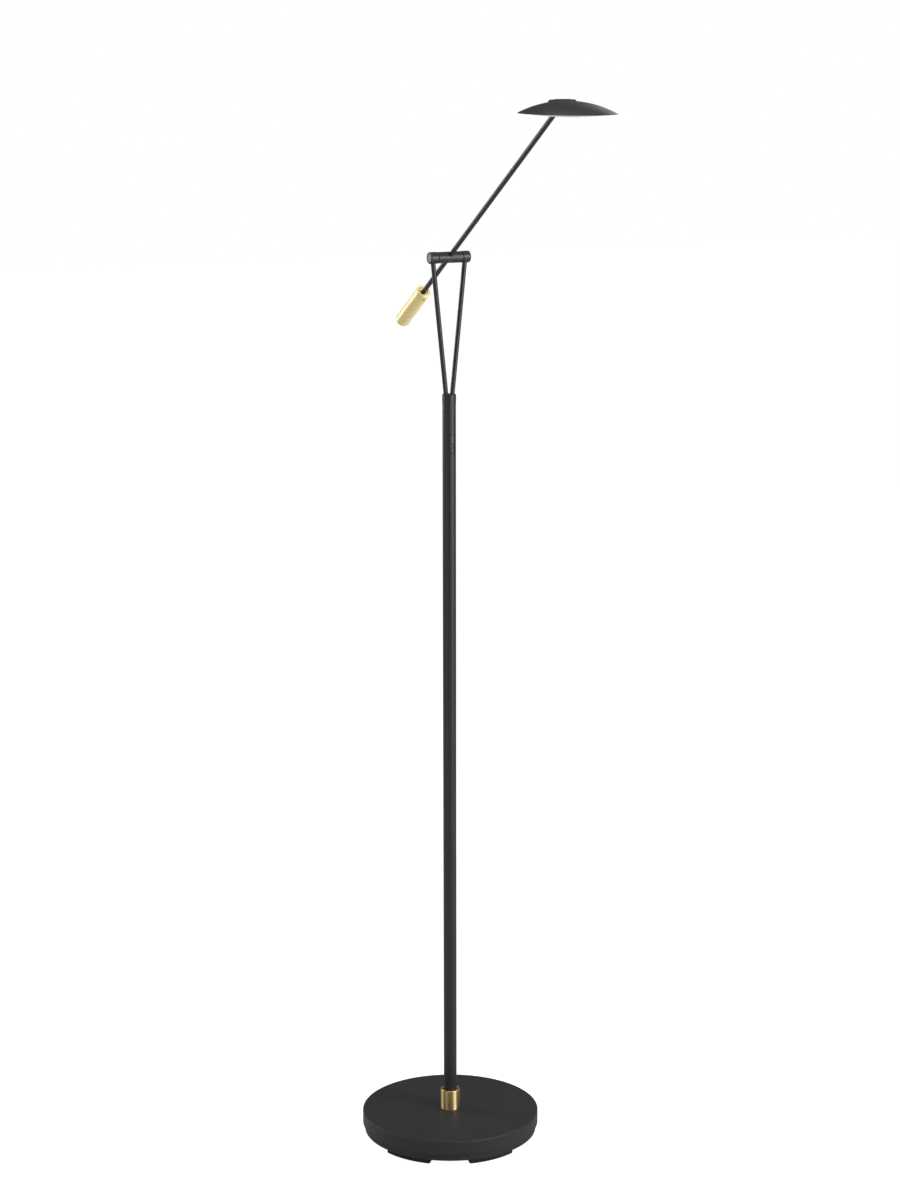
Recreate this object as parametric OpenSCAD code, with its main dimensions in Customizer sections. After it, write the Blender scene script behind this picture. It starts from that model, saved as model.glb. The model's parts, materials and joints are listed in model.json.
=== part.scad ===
// Counterbalanced reading floor lamp.
// A weighted round base carries a pole. A two-rod fork swivels on the pole's top and holds a cross hub.
// The arm passes through the hub, with a counterweight behind and a tilting disc-shaped LED head in front.
// Frame: origin on the floor at the pole's axis, +Z up, the hub's axis along X, the head towards -Y.

/* [Base] */
// Diameter of the base cover
base_d = 230; // [200:1:280]
// Height of the base cover
shell_h = 18; // [16:0.5:26]
// Sheet thickness of the base cover
shell_t = 1.5; // [1:0.1:2]
// Rounding of the cover's top edge
shell_edge_r = 1.8; // [1:0.1:3]
// Gap between the weight and the inside of the cover
shell_gap = 1.1; // [0.5:0.1:2]
// Height of the weight's band that shows below the cover
band_h = 9.5; // [8.5:0.5:14]
// Height of the rubber feet
foot_h = 8; // [4:0.5:12]
// Radial width of a foot
foot_w = 18; // [10:1:24]
// Distance from the weight's edge to the feet
foot_inset = 6.5; // [2:0.5:14]
// Arc that one foot covers, in degrees
foot_arc = 36.5; // [20:0.5:50]
// Number of feet
foot_count = 5; // [3:1:6]
// Turn of the whole set of feet about the base, in degrees
foot_turn = 3; // [-10:1:10]
// Bevel at the ends of a foot
foot_bevel = 1.5; // [1:0.5:3.5]
// Extra opening between the two feet behind, below the mains inlet, in degrees
foot_back_gap = 37; // [0:1:40]
// Thickness of the bottom cover
cover_t = 1.2; // [0.8:0.1:1.5]
// Radius of the bottom cover
cover_r = 72; // [70:1:78]

/* [Driver and inlet] */
// Width of the driver across the lamp
driver_w = 64; // [50:1:80]
// Depth of the driver, front to back
driver_l = 34; // [28:1:38]
// Height of the driver
driver_h = 13; // [10:0.5:15]
// Distance of the driver's centre behind the pole
driver_y = 45; // [44:1:46]
// Radius of the hole through the inlet grommet
inlet_r = 2.8; // [2.4:0.1:3]
// Wall of the inlet grommet
grommet_t = 1.2; // [0.8:0.1:1.3]
// Length of the inlet grommet
grommet_len = 12; // [8:1:16]
// Diameter of the inner leads
lead_d = 2.2; // [1.6:0.1:2.4]

/* [Pole] */
// Length of the pole
pole_len = 944.6; // [700:0.1:1200]
// Outer diameter of the pole
pole_d = 17; // [16:0.1:21]
// Wall of the pole
pole_t = 1.5; // [1.2:0.1:1.6]
// Outer diameter of the collar at the pole's foot
collar_d = 25.5; // [24:0.5:32]
// Height of that collar
collar_h = 26; // [18:0.5:40]
// Width of the open ring between the collar's mouth and the pole
collar_ring = 1.1; // [0.5:0.1:1.5]
// Depth of that ring
collar_ring_h = 3; // [1:0.5:6]

/* [Dimmer switch] */
// Distance from the pole's top down to the switch's centre
switch_drop = 48.6; // [44:0.2:120]
// Length of the switch bezel
bezel_len = 27.8; // [27:0.2:34]
// Width of the switch bezel
bezel_w = 9.6; // [9:0.1:10]
// Wall beside the rocker
bezel_t = 1; // [0.8:0.1:1.2]
// Height of the bezel above the pole's surface
bezel_proud = 0.2; // [0.1:0.05:0.4]
// Radius of the rocker's pin
rocker_pin_r = 0.75; // [0.6:0.05:0.9]
// Depth of the rocker's pin below the pole's surface
rocker_pin_depth = 2.5; // [2.2:0.1:2.8]

/* [Swivel and fork] */
// Height of the cap on the pole
cap_h = 12; // [10:0.5:20]
// Height of the cap's edge over the pole's surface
cap_proud = 0.2; // [0:0.05:0.5]
// Length of the swivel bush in the pole
bush_len = 18; // [14:0.5:24]
// Radius of the cap's spigot
spigot_r = 4.95; // [4.5:0.05:5.2]
// Thickness of the bush's flange, which shows as the seam
flange_t = 0.8; // [0.5:0.1:1.2]
// Height from the cap to the hub's axis
fork_h = 169.5; // [120:0.5:240]
// Diameter of a fork rod
rod_d = 6; // [5:0.1:6.4]
// Wall of a fork rod
rod_t = 1; // [0.8:0.1:1.2]
// Distance of a rod from the middle at the cap's top
rod_foot_x = 4.5; // [4.2:0.1:4.6]
// Depth of the rods' seats in the cap
rod_seat = 7; // [5:0.5:8]

/* [Hub] */
// Overall length of the hub
hub_len = 56; // [50:0.5:72]
// Length of a hub collar
hub_collar_len = 10.2; // [9.8:0.1:12]
// Diameter of a hub collar
hub_collar_d = 14.6; // [14.4:0.1:16]
// Diameter of the middle barrel
barrel_d = 14; // [13:0.1:14.4]
// Radius of the barrel's trunnions
trunnion_r = 4; // [3.6:0.05:4.1]
// Wall of a hub bush
hub_bush_t = 1; // [0.8:0.1:1.1]
// Length of a hub bush inside its collar
hub_bush_len = 4.8; // [4:0.1:5]

/* [Arm] */
// Distance from the hub's axis to the head's pivot
arm_front = 328; // [220:1:420]
// Diameter of the arm
arm_d = 6; // [5:0.1:6.4]
// Wall of the arm tube
arm_t = 1; // [0.8:0.1:1.2]
// Angle of the arm above level at rest
arm_rest = 35.5; // [0:0.5:75]

/* [Counterweight] */
// Diameter of the counterweight
weight_d = 18; // [16:0.5:24]
// Length of the counterweight
weight_len = 72; // [60:1:90]
// Distance from the hub's axis to the counterweight
weight_start = 80; // [70:1:95]
// Length of arm inside the counterweight
weight_grip = 60; // [40:1:62]
// Diameter of the recess in the counterweight's upper face
weight_recess_d = 11; // [8:0.5:12]
// Depth of that recess
weight_recess_h = 3.5; // [1:0.5:4]
// Distance from the upper face to the clamp screw
weight_screw_at = 7.7; // [7:0.1:12]

/* [Head] */
// Diameter of the shade
shade_d = 114.5; // [112:0.1:160]
// Height of the shade's dome
shade_h = 14.3; // [14.2:0.1:16]
// Wall of the shade
shade_t = 1; // [0.8:0.1:1.2]
// Height of the pivot above the shade's rim
pivot_h = 10.7; // [10.5:0.1:11.5]
// Distance from the pivot forward to the shade's centre
pivot_back = 12; // [10:0.5:14]
// Downward tilt of the head's front at rest, in degrees
head_nod = 1.5; // [0:0.5:10]
// Diameter of the head's knuckle
knuckle_d = 10; // [9:0.1:10.4]
// Length of the knuckle
knuckle_len = 20; // [18:0.5:24]
// Length of a pivot block
block_len = 8; // [7:0.5:9]
// Radius of the pivot pins
pin_r = 1.5; // [1.2:0.1:1.6]
// Thickness of the LED carrier
carrier_t = 2; // [1.5:0.1:2.2]
// Height of the carrier's underside above the rim
carrier_lift = 3.1; // [3:0.1:3.4]
// Gap between the LED carrier's edge and the shade
carrier_gap = 0.6; // [0.4:0.1:1.5]
// Thickness of the LED board
board_t = 1.4; // [1:0.1:1.6]
// Width of the carrier's edge outside the LED board
board_margin = 2; // [1:0.1:2.5]
// Height of the diffuser's clip edge inside the shade
clip_rim_h = 1.4; // [1:0.1:2]
// Depth by which the diffuser bulges below the rim
diffuser_bulge = 3.8; // [3.5:0.1:5]
// Wall of the diffuser
diffuser_t = 1.4; // [1:0.1:1.5]
// Radius of the outer ring of LEDs
led_outer_ring = 37; // [36.5:0.5:37.5]
// Radius of the inner ring of LEDs
led_inner_ring = 24; // [23.5:0.5:24.5]

/* [Clearances] */
// Radial gap of a running fit
run_gap = 0.05; // [0.02:0.01:0.1]
// Radial gap of a glued, pressed or clamped fit
seat_gap = 0.05; // [0.02:0.01:0.1]
// Gap along an axis between faces that turn on each other
end_gap = 0.05; // [0.02:0.01:0.1]
// Gap beside the rocker
rocker_gap = 0.3; // [0.2:0.05:0.4]
// Gap round a screw that passes through a hole
screw_gap = 0.2; // [0.1:0.05:0.4]
// Gap beside the arm in the head's slot
slot_gap = 1.2; // [0.8:0.1:2]

/* [Hidden] */

$fn = 96;
cut = 1; // how far a cutting shape runs past a face

// Colours
black_coat = "#2c2d30";
black_rubber = "#1d1d1e";
black_plastic = "#242527";
iron_black = "#303133";
steel = "#9a9ca0";
zinc = "#b9bcc0";
brass_satin = "#c9b987";
brass_bright = "#b89445";
copper = "#8d3b2a";
opal = "#f4f3ee";
aluminium = "#c4c6c9";
board_white = "#e8e9e6";
led_yellow = "#e8cf5a";

// Base
weight_r = base_d / 2 - shell_t - shell_gap;
foot_r = weight_r - foot_inset;
foot_pitch = (360 - foot_back_gap) / foot_count;
shell_z0 = foot_h + band_h;
shell_z1 = shell_z0 + shell_h;
weight_z1 = shell_z1 - shell_t;
cover_top = foot_h + cover_t;
recess_r = 23;
recess_h = 10.5;
recess_z1 = foot_h + recess_h;
web_t = 3.5;
pole_z0 = recess_z1 + web_t;
cover_screw_at = cover_r - 6;
cover_screw_r = 1.5;
cover_screw_len = 6;
cover_screw_turns = [30, 150, 270];
pocket_gap = 1;
pocket_top = cover_top + driver_h + 0.8;
inlet_z = foot_h + band_h / 2;
grommet_r = inlet_r + grommet_t;
grommet_lip = 1;
grommet_lip_t = 0.5;
channel_w = 8;

// Fasteners of the base
stud_r = 5;
stud_bore_r = 3;
washer_r = 15;
washer_t = 2;
nut_flats = 17;
nut_h = 4.5;
insert_h = 22;

// Pole
pole_r = pole_d / 2;
pole_in_r = pole_r - pole_t;
pole_z1 = pole_z0 + pole_len;
collar_r = collar_d / 2;
collar_z1 = shell_z1 + collar_h;
collar_screw_z = shell_z1 + 9;
set_screw_r = 2;
screw_sink = 0.5;
lead_y = 4.4; // the pole lead runs behind the switch

// Switch
switch_z = pole_z1 - switch_drop;
bezel_back = -3;
rocker_w = bezel_w - 2 * bezel_t - 2 * rocker_gap;
rocker_len = bezel_len - 3.8;
rocker_hole_len = rocker_len + 0.8;
rocker_face_r = pole_r - 0.2;
rocker_rib_r = pole_r + 0.15;
rocker_back = -4.6;
rocker_pin_y = rocker_pin_depth - pole_r;
rib_t = 0.8;
rib_pitch = 1.9;
dimple_r = 2.3;
dimple_z = -5;

// Swivel
stop_z = pole_z1 - 9.6;
stop_r = 1.5;
stop_tip = 4.1;
groove_r = 3.7;
groove_h = 3.6;
groove_web = 10;
spigot_bore_r = 2.4;
bush_flange_r = pole_r - 0.4;
cap_r = pole_r + cap_proud;
cap_z0 = pole_z1 + flange_t + end_gap;
cap_z1 = cap_z0 + cap_h;
clip_t = 1;
clip_r = spigot_r + 1.3;
clip_groove = 0.6;
bush_z0 = pole_z1 - bush_len;
clip_z1 = bush_z0 - end_gap;
spigot_z0 = clip_z1 - clip_t - 3;

// Fork and hub
hub_z = cap_z1 + fork_h;
hub_collar_r = hub_collar_d / 2;
hub_collar_x0 = hub_len / 2 - hub_collar_len;
rod_head_x = hub_len / 2 - hub_collar_len / 2;
rod_tilt = atan2(rod_head_x - rod_foot_x, fork_h);
rod_axis_len = norm([rod_head_x - rod_foot_x, fork_h]);
rod_r = rod_d / 2;
hub_bush_r = trunnion_r + run_gap + hub_bush_t;
rod_end = hub_bush_r + seat_gap + 0.6;
rod_passage_end = hub_bush_r - 0.3;
hub_flange_r = barrel_d / 2 - 0.7;
barrel_x1 = hub_collar_x0 - flange_t - end_gap;
hub_bush_x1 = hub_collar_x0 + hub_bush_len;
spring_x0 = hub_bush_x1 + end_gap;
spring_t = 0.5;
hub_clip_x0 = spring_x0 + spring_t;
hub_clip_t = 0.7;
hub_clip_r = trunnion_r + 1.1;
hub_clip_groove = 0.4;
trunnion_x1 = hub_clip_x0 + hub_clip_t + 0.7;
chamber_r = hub_collar_r - 1.5;
hub_cap_t = 1.4;
lead_bore_r = 1.9;
fork_lead_stop = 8;

// Arm
arm_r = arm_d / 2;
arm_in_r = arm_r - arm_t;
arm_nose = 2.5; // how far the arm runs past the head's pivot inside the knuckle
arm_lead_d = min(lead_d, 2 * arm_in_r - 1.6);
side_hole_r = arm_lead_d / 2 + 0.4;

// Head
knuckle_r = knuckle_d / 2;
rim_z = -pivot_h;
dome_r = (pow(shade_d / 2, 2) + pow(shade_h, 2)) / (2 * shade_h);
dome_z = rim_z + shade_h - dome_r;
carrier_z0 = rim_z + carrier_lift;
carrier_z1 = carrier_z0 + carrier_t;
carrier_r = dome_inside(carrier_z1) - carrier_gap;
board_z0 = carrier_z0 - board_t;
board_r = carrier_r - board_margin;
diffuser_r = dome_inside(rim_z + clip_rim_h) - seat_gap;
washer_gap = 0.3;
block_x0 = knuckle_len / 2 + washer_gap + 2 * end_gap;
block_x1 = block_x0 + block_len;
pin_depth = 4.5;
slot_half_w = arm_r + slot_gap;
slot_front = -8.5;
slot_back = 31;
boss_at = 30;
boss_r = 3;
boss_turns = [-90, 30, 150];
small_screw_r = 1.25;
small_head_r = 2.7;
small_head_h = 1.3;
head_hole_r = small_head_r + 0.6;
led_w = 3.5;
led_l = 2.8;
led_h = 0.7;
bulge_r = (pow(diffuser_r, 2) + pow(diffuser_bulge, 2)) / (2 * diffuser_bulge);
bulge_z = rim_z - diffuser_bulge + bulge_r;

// Radius of the shade's inside at a height in the head's frame
function dome_inside(z) = sqrt(pow(dome_r - shade_t, 2) - pow(z - dome_z, 2));

// ---------- Shapes used by several pieces ----------

// Cylinder along X from x0 to x1
module x_rod(r, x0, x1)
    translate([x0, 0, 0])
        rotate([0, 90, 0])
            cylinder(r = r, h = x1 - x0);

// Cylinder along Y from y0 to y1
module y_rod(r, y0, y1)
    translate([0, y0, 0])
        rotate([-90, 0, 0])
            cylinder(r = r, h = y1 - y0);

// Cylinder along Z from z0 to z1
module z_rod(r, z0, z1)
    translate([0, 0, z0])
        cylinder(r = r, h = z1 - z0);

// Ring along Z
module ring(r_out, r_in, z0, z1)
    difference() {
        z_rod(r_out, z0, z1);
        z_rod(r_in, z0 - cut, z1 + cut);
    }

// Ring along X
module x_ring(r_out, r_in, x0, x1)
    difference() {
        x_rod(r_out, x0, x1);
        x_rod(r_in, x0 - cut, x1 + cut);
    }

// Disc from z = 0 to h with its top edge rounded
module round_top_disc(r, h, edge)
    rotate_extrude()
        union() {
            square([r - edge, h]);
            square([r, h - edge]);
            translate([r - edge, h - edge])
                circle(edge);
        }

// Disc from z0 to z1 with both edges bevelled
module bevel_disc(r, z0, z1, bevel)
    rotate_extrude()
        polygon([
            [0, z0], [r - bevel, z0], [r, z0 + bevel],
            [r, z1 - bevel], [r - bevel, z1], [0, z1]
        ]);

// The same along X
module x_bevel_disc(r, x0, x1, bevel)
    rotate([0, 90, 0])
        bevel_disc(r, x0, x1, bevel);

// Grub screw with a hex socket: the tip at z = 0, the socket at z = len
module grub_screw(r, len)
    difference() {
        bevel_disc(r, 0, len, 0.4);
        translate([0, 0, len - min(2, len / 2)])
            cylinder(r = r * 0.55, h = 2 + cut, $fn = 6);
    }

// Cap screw with a hex socket: the head's seat at z = 0, the shank running up
module seat_screw(shank_r, len, head_r, head_h)
    difference() {
        union() {
            z_rod(shank_r, -cut / 2, len);
            rotate([180, 0, 0])
                round_top_disc(head_r, head_h, head_h * 0.4);
        }
        translate([0, 0, -head_h - cut])
            cylinder(r = shank_r, h = cut + head_h * 0.7, $fn = 6);
    }

// Inner lead through a list of points
module lead(points, d) {
    for (i = [0 : len(points) - 2]) {
        run = points[i + 1] - points[i];
        translate(points[i])
            rotate([0, acos(run.z / norm(run)), atan2(run.y, run.x)])
                cylinder(d = d, h = norm(run));
    }
    for (i = [1 : len(points) - 2])
        translate(points[i])
            sphere(d = d + 0.2);
}

// The frame of the hub: X along its axis
module at_hub()
    translate([0, 0, hub_z])
        children();

// The frame of the arm: the head's pivot towards -Y
module at_arm()
    at_hub()
        rotate([-arm_rest, 0, 0])
            children();

// The frame of the head: its origin on the pivot, the rim's plane level in it
module at_head()
    translate([0, -arm_front * cos(arm_rest), hub_z + arm_front * sin(arm_rest)])
        rotate([head_nod, 0, 0])
            children();

// The frame of the switch
module at_switch()
    translate([0, 0, switch_z])
        children();

// A rod of the fork, from the cap's top up; side is 1 or -1
module along_rod(side)
    translate([side * rod_foot_x, 0, cap_z1])
        rotate([0, side * rod_tilt, 0])
            children();

// Left pieces are the mirrored right ones
module on_side(side)
    mirror([side < 0 ? 1 : 0, 0, 0])
        children();

// ---------- Stand ----------

module foot()
    difference() {
        rotate([0, 0, -foot_arc / 2])
            rotate_extrude(angle = foot_arc)
                polygon([
                    [foot_r - foot_w + 1, 0], [foot_r - 1, 0], [foot_r, 1],
                    [foot_r, foot_h], [foot_r - foot_w, foot_h], [foot_r - foot_w, 1]
                ]);
        for (side = [-1, 1])
            rotate([0, 0, side * foot_arc / 2])
                translate([foot_r - foot_w - cut, 0, 0])
                    rotate([45, 0, 0])
                        translate([0, -foot_bevel / sqrt(2), -foot_bevel / sqrt(2)])
                            cube([foot_w + 2 * cut, foot_bevel * sqrt(2), foot_bevel * sqrt(2)]);
    }

module base_feet()
    color(black_rubber)
        for (i = [0 : foot_count - 1])
            rotate([0, 0, -90 + foot_turn + (i - (foot_count - 1) / 2) * foot_pitch])
                foot();

module at_cover_screws()
    for (turn = cover_screw_turns)
        rotate([0, 0, turn])
            translate([cover_screw_at, 0, foot_h])
                children();

module base_weight()
    color(iron_black)
        difference() {
            translate([0, 0, weight_z1])
                rotate([180, 0, 0])
                    round_top_disc(weight_r, weight_z1 - foot_h, 1);
            z_rod(pole_r + seat_gap, pole_z0, weight_z1 + cut);
            z_rod(stud_r + screw_gap, foot_h, weight_z1);
            z_rod(recess_r, foot_h - cut, recess_z1);
            z_rod(cover_r + screw_gap, foot_h - cut, cover_top);
            translate([-driver_w / 2 - pocket_gap, driver_y - driver_l / 2 - pocket_gap, foot_h])
                cube([driver_w + 2 * pocket_gap, driver_l + 2 * pocket_gap, pocket_top - foot_h]);
            translate([-channel_w / 2, 0, foot_h])
                cube([channel_w, driver_y, recess_h]);
            translate([0, 0, inlet_z]) {
                y_rod(inlet_r + 0.3, driver_y, weight_r + cut);
                y_rod(grommet_r + seat_gap, weight_r - grommet_len, weight_r + cut);
            }
            at_cover_screws()
                z_rod(cover_screw_r + seat_gap, 0, cover_t + cover_screw_len);
        }

module base_shell()
    color(black_coat)
        translate([0, 0, shell_z0])
            difference() {
                round_top_disc(base_d / 2, shell_h, shell_edge_r);
                translate([0, 0, -cut])
                    round_top_disc(base_d / 2 - shell_t, shell_h - shell_t + cut,
                        max(0.1, shell_edge_r - shell_t));
                z_rod(pole_r + screw_gap, 0, shell_h + cut);
            }

module bottom_cover()
    color(zinc)
        difference() {
            z_rod(cover_r, foot_h, cover_top);
            at_cover_screws()
                z_rod(cover_screw_r + screw_gap, -cut, cover_t + cut);
        }

module bottom_screws()
    color(zinc)
        at_cover_screws()
            seat_screw(cover_screw_r, cover_t + cover_screw_len - 0.5, 2.8, 1.8);

module cable_grommet()
    color(black_rubber)
        translate([0, 0, inlet_z])
            difference() {
                union() {
                    y_rod(grommet_r, weight_r - grommet_len, weight_r + grommet_lip_t);
                    intersection() {
                        y_rod(grommet_r + grommet_lip - 0.5, weight_r - 0.2, weight_r + grommet_lip_t);
                        difference() {
                            y_rod(grommet_r + grommet_lip, weight_r - cut, weight_r + cut);
                            translate([0, 0, -inlet_z])
                                z_rod(weight_r, 0, shell_z1);
                        }
                    }
                }
                y_rod(inlet_r, weight_r - grommet_len - cut, weight_r + grommet_lip_t + cut);
            }

module led_driver()
    color(black_plastic)
        translate([-driver_w / 2, driver_y - driver_l / 2, pocket_top - driver_h])
            difference() {
                cube([driver_w, driver_l, driver_h]);
                for (x = [-cut, driver_w - 6])
                    for (y = [-cut, driver_l - 8])
                        translate([x, y, -cut])
                            cube([6 + cut, 8 + cut, driver_h - 2 + cut]);
            }

module base_washer()
    color(zinc)
        ring(washer_r, stud_r + screw_gap, recess_z1 - washer_t, recess_z1);

module base_nut()
    color(zinc)
        translate([0, 0, recess_z1 - washer_t - nut_h])
            difference() {
                cylinder(d = nut_flats / cos(30), h = nut_h, $fn = 6);
                z_rod(stud_r + seat_gap, -cut, nut_h + cut);
            }

module pole_insert()
    color(steel)
        difference() {
            union() {
                z_rod(pole_in_r - seat_gap, pole_z0, pole_z0 + insert_h);
                z_rod(stud_r, recess_z1 - washer_t - nut_h - 0.3, pole_z0 + cut);
            }
            z_rod(stud_bore_r, foot_h, pole_z0 + insert_h + cut);
        }

module pole_tube()
    color(black_coat)
        difference() {
            ring(pole_r, pole_in_r, pole_z0, pole_z1);
            at_switch()
                translate([-bezel_w / 2 - seat_gap, -pole_r - cut, -bezel_len / 2 - seat_gap])
                    cube([bezel_w + 2 * seat_gap, pole_r + cut, bezel_len + 2 * seat_gap]);
            translate([0, 0, stop_z])
                y_rod(stop_r + seat_gap, 0, pole_r + cut);
        }

module pole_collar()
    color(brass_bright)
        difference() {
            bevel_disc(collar_r, shell_z1, collar_z1, 0.5);
            z_rod(pole_r + seat_gap, shell_z1 - cut, collar_z1 + cut);
            z_rod(pole_r + collar_ring, collar_z1 - collar_ring_h, collar_z1 + cut);
            translate([0, 0, collar_screw_z])
                y_rod(set_screw_r + seat_gap, 0, collar_r + cut);
        }

module collar_screw()
    color(steel)
        translate([0, pole_r + 0.02, collar_screw_z])
            rotate([-90, 0, 0])
                grub_screw(set_screw_r, collar_r - pole_r - screw_sink);

module pole_bush()
    color(black_plastic)
        difference() {
            union() {
                z_rod(pole_in_r - seat_gap, bush_z0, pole_z1 + flange_t);
                z_rod(bush_flange_r, pole_z1, pole_z1 + flange_t);
            }
            z_rod(spigot_r + run_gap, bush_z0 - cut, pole_z1 + flange_t + cut);
            translate([0, 0, stop_z])
                y_rod(stop_r + seat_gap, 0, pole_r + cut);
        }

module stop_screw()
    color(steel)
        translate([0, stop_tip, stop_z])
            rotate([-90, 0, 0])
                grub_screw(stop_r, pole_r - stop_tip - 0.3);

module switch_bezel()
    color(black_plastic)
        at_switch()
            difference() {
                intersection() {
                    z_rod(pole_r + bezel_proud, -bezel_len, bezel_len);
                    translate([-bezel_w / 2, -pole_r - cut, -bezel_len / 2])
                        cube([bezel_w, pole_r + cut + bezel_back, bezel_len]);
                }
                translate([-bezel_w / 2 + bezel_t, -pole_r - 2 * cut, -rocker_hole_len / 2])
                    cube([bezel_w - 2 * bezel_t, pole_r + cut * 3, rocker_hole_len]);
                translate([0, rocker_pin_y, 0])
                    x_rod(rocker_pin_r + seat_gap, -bezel_w, bezel_w);
            }

module switch_body()
    color(black_plastic)
        at_switch() {
            translate([-4.4, bezel_back, -bezel_len / 2 + 0.4])
                cube([8.8, 4.4, bezel_len - 0.8]);
            for (side = [-1, 1])
                translate([0, 0, side * 7.5])
                    y_rod(1.3, bezel_back - 0.5, bezel_back + 0.2);
        }

module rocker_pin()
    color(steel)
        at_switch()
            translate([0, rocker_pin_y, 0])
                x_rod(rocker_pin_r, -bezel_w / 2 + 0.3, bezel_w / 2 - 0.3);

module rocker_button()
    color(black_coat)
        at_switch()
            difference() {
                intersection() {
                    union() {
                        z_rod(rocker_face_r, -rocker_len / 2, rocker_len / 2);
                        for (side = [-1, 1])
                            for (step = [0, 1])
                                translate([0, 0, side * (rocker_len / 2 - 1.2 - step * rib_pitch)])
                                    z_rod(rocker_rib_r, -rib_t / 2, rib_t / 2);
                    }
                    translate([-rocker_w / 2, -pole_r - cut, -rocker_len / 2])
                        cube([rocker_w, pole_r + cut + rocker_back, rocker_len]);
                }
                ring(pole_r + cut, rocker_face_r - 0.6, -0.5, 0.5);
                translate([0, 0, dimple_z])
                    y_rod(dimple_r, -pole_r - cut, -rocker_face_r + 0.5);
                translate([0, rocker_pin_y, 0])
                    x_rod(rocker_pin_r + run_gap, -rocker_w, rocker_w);
            }

module pole_lead()
    color(copper)
        lead([
            [0, driver_y - driver_l / 2 - 0.3, foot_h + recess_h / 2],
            [0, stud_r + 8, foot_h + cover_t + lead_d / 2 + 0.2],
            [0, 0, foot_h + cover_t + lead_d / 2 + 0.2],
            [0, 0, pole_z0 + insert_h + 8],
            [0, lead_y, pole_z0 + insert_h + 60],
            [0, lead_y, switch_z + bezel_len / 2 + 4],
            [0, 0, spigot_z0 - 5],
            [0, 0, spigot_z0 - 1]
        ], lead_d);

// ---------- Fork ----------

module fork_cap()
    color(black_coat)
        difference() {
            union() {
                z_rod(cap_r, cap_z0, cap_z1 - 1);
                translate([0, 0, cap_z1 - 1.5])
                    round_top_disc(cap_r, 1.5, 0.8);
                z_rod(spigot_r, spigot_z0, cap_z0 + cut);
            }
            z_rod(spigot_bore_r, spigot_z0 - cut, cap_z0 + 2);
            lead([
                [0, 0, cap_z0], [0, 0, cap_z0 + 1.8], in_left_rod(-rod_seat), in_left_rod(0)
            ], lead_d + 0.6);
            for (side = [-1, 1])
                along_rod(side)
                    z_rod(rod_r + seat_gap, -rod_seat, cap_h);
            rotate([0, 0, -90 + groove_web / 2])
                translate([0, 0, stop_z])
                    rotate_extrude(angle = 360 - groove_web)
                        translate([groove_r, -groove_h / 2])
                            square([spigot_r, groove_h]);
            ring(spigot_r + cut, spigot_r - clip_groove, clip_z1 - clip_t - 0.02, clip_z1 + 0.02);
        }

// A point on the left rod's axis, at a distance up from the cap's top
function in_left_rod(up) = [
    -rod_foot_x - up * sin(rod_tilt), 0, cap_z1 + up * cos(rod_tilt)
];

module spigot_clip()
    color(steel)
        difference() {
            ring(clip_r, spigot_r - clip_groove + 0.02, clip_z1 - clip_t, clip_z1);
            translate([-1.2, 0, clip_z1 - clip_t - cut])
                cube([2.4, clip_r + cut, clip_t + 2 * cut]);
        }

module fork_rod(side)
    color(black_coat)
        along_rod(side)
            ring(rod_r, rod_r - rod_t, -rod_seat, rod_axis_len - rod_end);

module hub_collar(side)
    color(black_coat)
        difference() {
            at_hub()
                on_side(side)
                    difference() {
                        translate([hub_collar_x0, 0, 0])
                            rotate([0, 90, 0])
                                round_top_disc(hub_collar_r, hub_collar_len, 1.3);
                        x_rod(hub_bush_r + seat_gap, hub_collar_x0 - cut, hub_len / 2);
                        x_rod(chamber_r, hub_bush_x1, hub_len / 2 + cut);
                    }
            along_rod(side)
                z_rod(rod_r + seat_gap, rod_axis_len - 14, rod_axis_len - rod_end);
            along_rod(side)
                z_rod(lead_bore_r, rod_axis_len - 14, rod_axis_len - rod_passage_end);
        }

module hub_bush(side)
    color(black_plastic)
        at_hub()
            on_side(side)
                difference() {
                    union() {
                        x_rod(hub_bush_r, hub_collar_x0 - flange_t, hub_bush_x1);
                        x_rod(hub_flange_r, hub_collar_x0 - flange_t, hub_collar_x0);
                    }
                    x_rod(trunnion_r + run_gap, 0, hub_len / 2);
                }

module hub_cap(side)
    color(black_coat)
        at_hub()
            on_side(side)
                x_bevel_disc(chamber_r - seat_gap, hub_len / 2 - hub_cap_t, hub_len / 2, 0.15);

module fork_lead()
    color(copper)
        lead([
            [0, 0, spigot_z0 + 0.5],
            [0, 0, cap_z0 + 1.8],
            in_left_rod(-rod_seat),
            in_left_rod(rod_axis_len - fork_lead_stop)
        ], lead_d);

// ---------- Arm ----------

module hub_barrel()
    color(black_coat)
        at_arm()
            difference() {
                union() {
                    x_bevel_disc(barrel_d / 2, -barrel_x1, barrel_x1, 0.3);
                    for (side = [-1, 1])
                        on_side(side)
                            difference() {
                                x_rod(trunnion_r, 0, trunnion_x1);
                                x_ring(trunnion_r + cut, trunnion_r - hub_clip_groove,
                                    hub_clip_x0 - 0.02, hub_clip_x0 + hub_clip_t + 0.02);
                            }
                }
                y_rod(arm_r + seat_gap, -barrel_d, barrel_d);
                x_rod(lead_bore_r, -trunnion_x1 - cut, 0);
                z_rod(set_screw_r + seat_gap, -barrel_d, 0);
            }

module hub_springs()
    color(steel)
        at_arm()
            for (side = [-1, 1])
                on_side(side)
                    x_ring(hub_bush_r, trunnion_r + 0.1, spring_x0, spring_x0 + spring_t);

module hub_clips()
    color(steel)
        at_arm()
            for (side = [-1, 1])
                on_side(side)
                    difference() {
                        x_ring(hub_clip_r, trunnion_r - hub_clip_groove + 0.02,
                            hub_clip_x0, hub_clip_x0 + hub_clip_t);
                        translate([hub_clip_x0 - cut, -1, 0])
                            cube([hub_clip_t + 2 * cut, 2, hub_clip_r + cut]);
                    }

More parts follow.
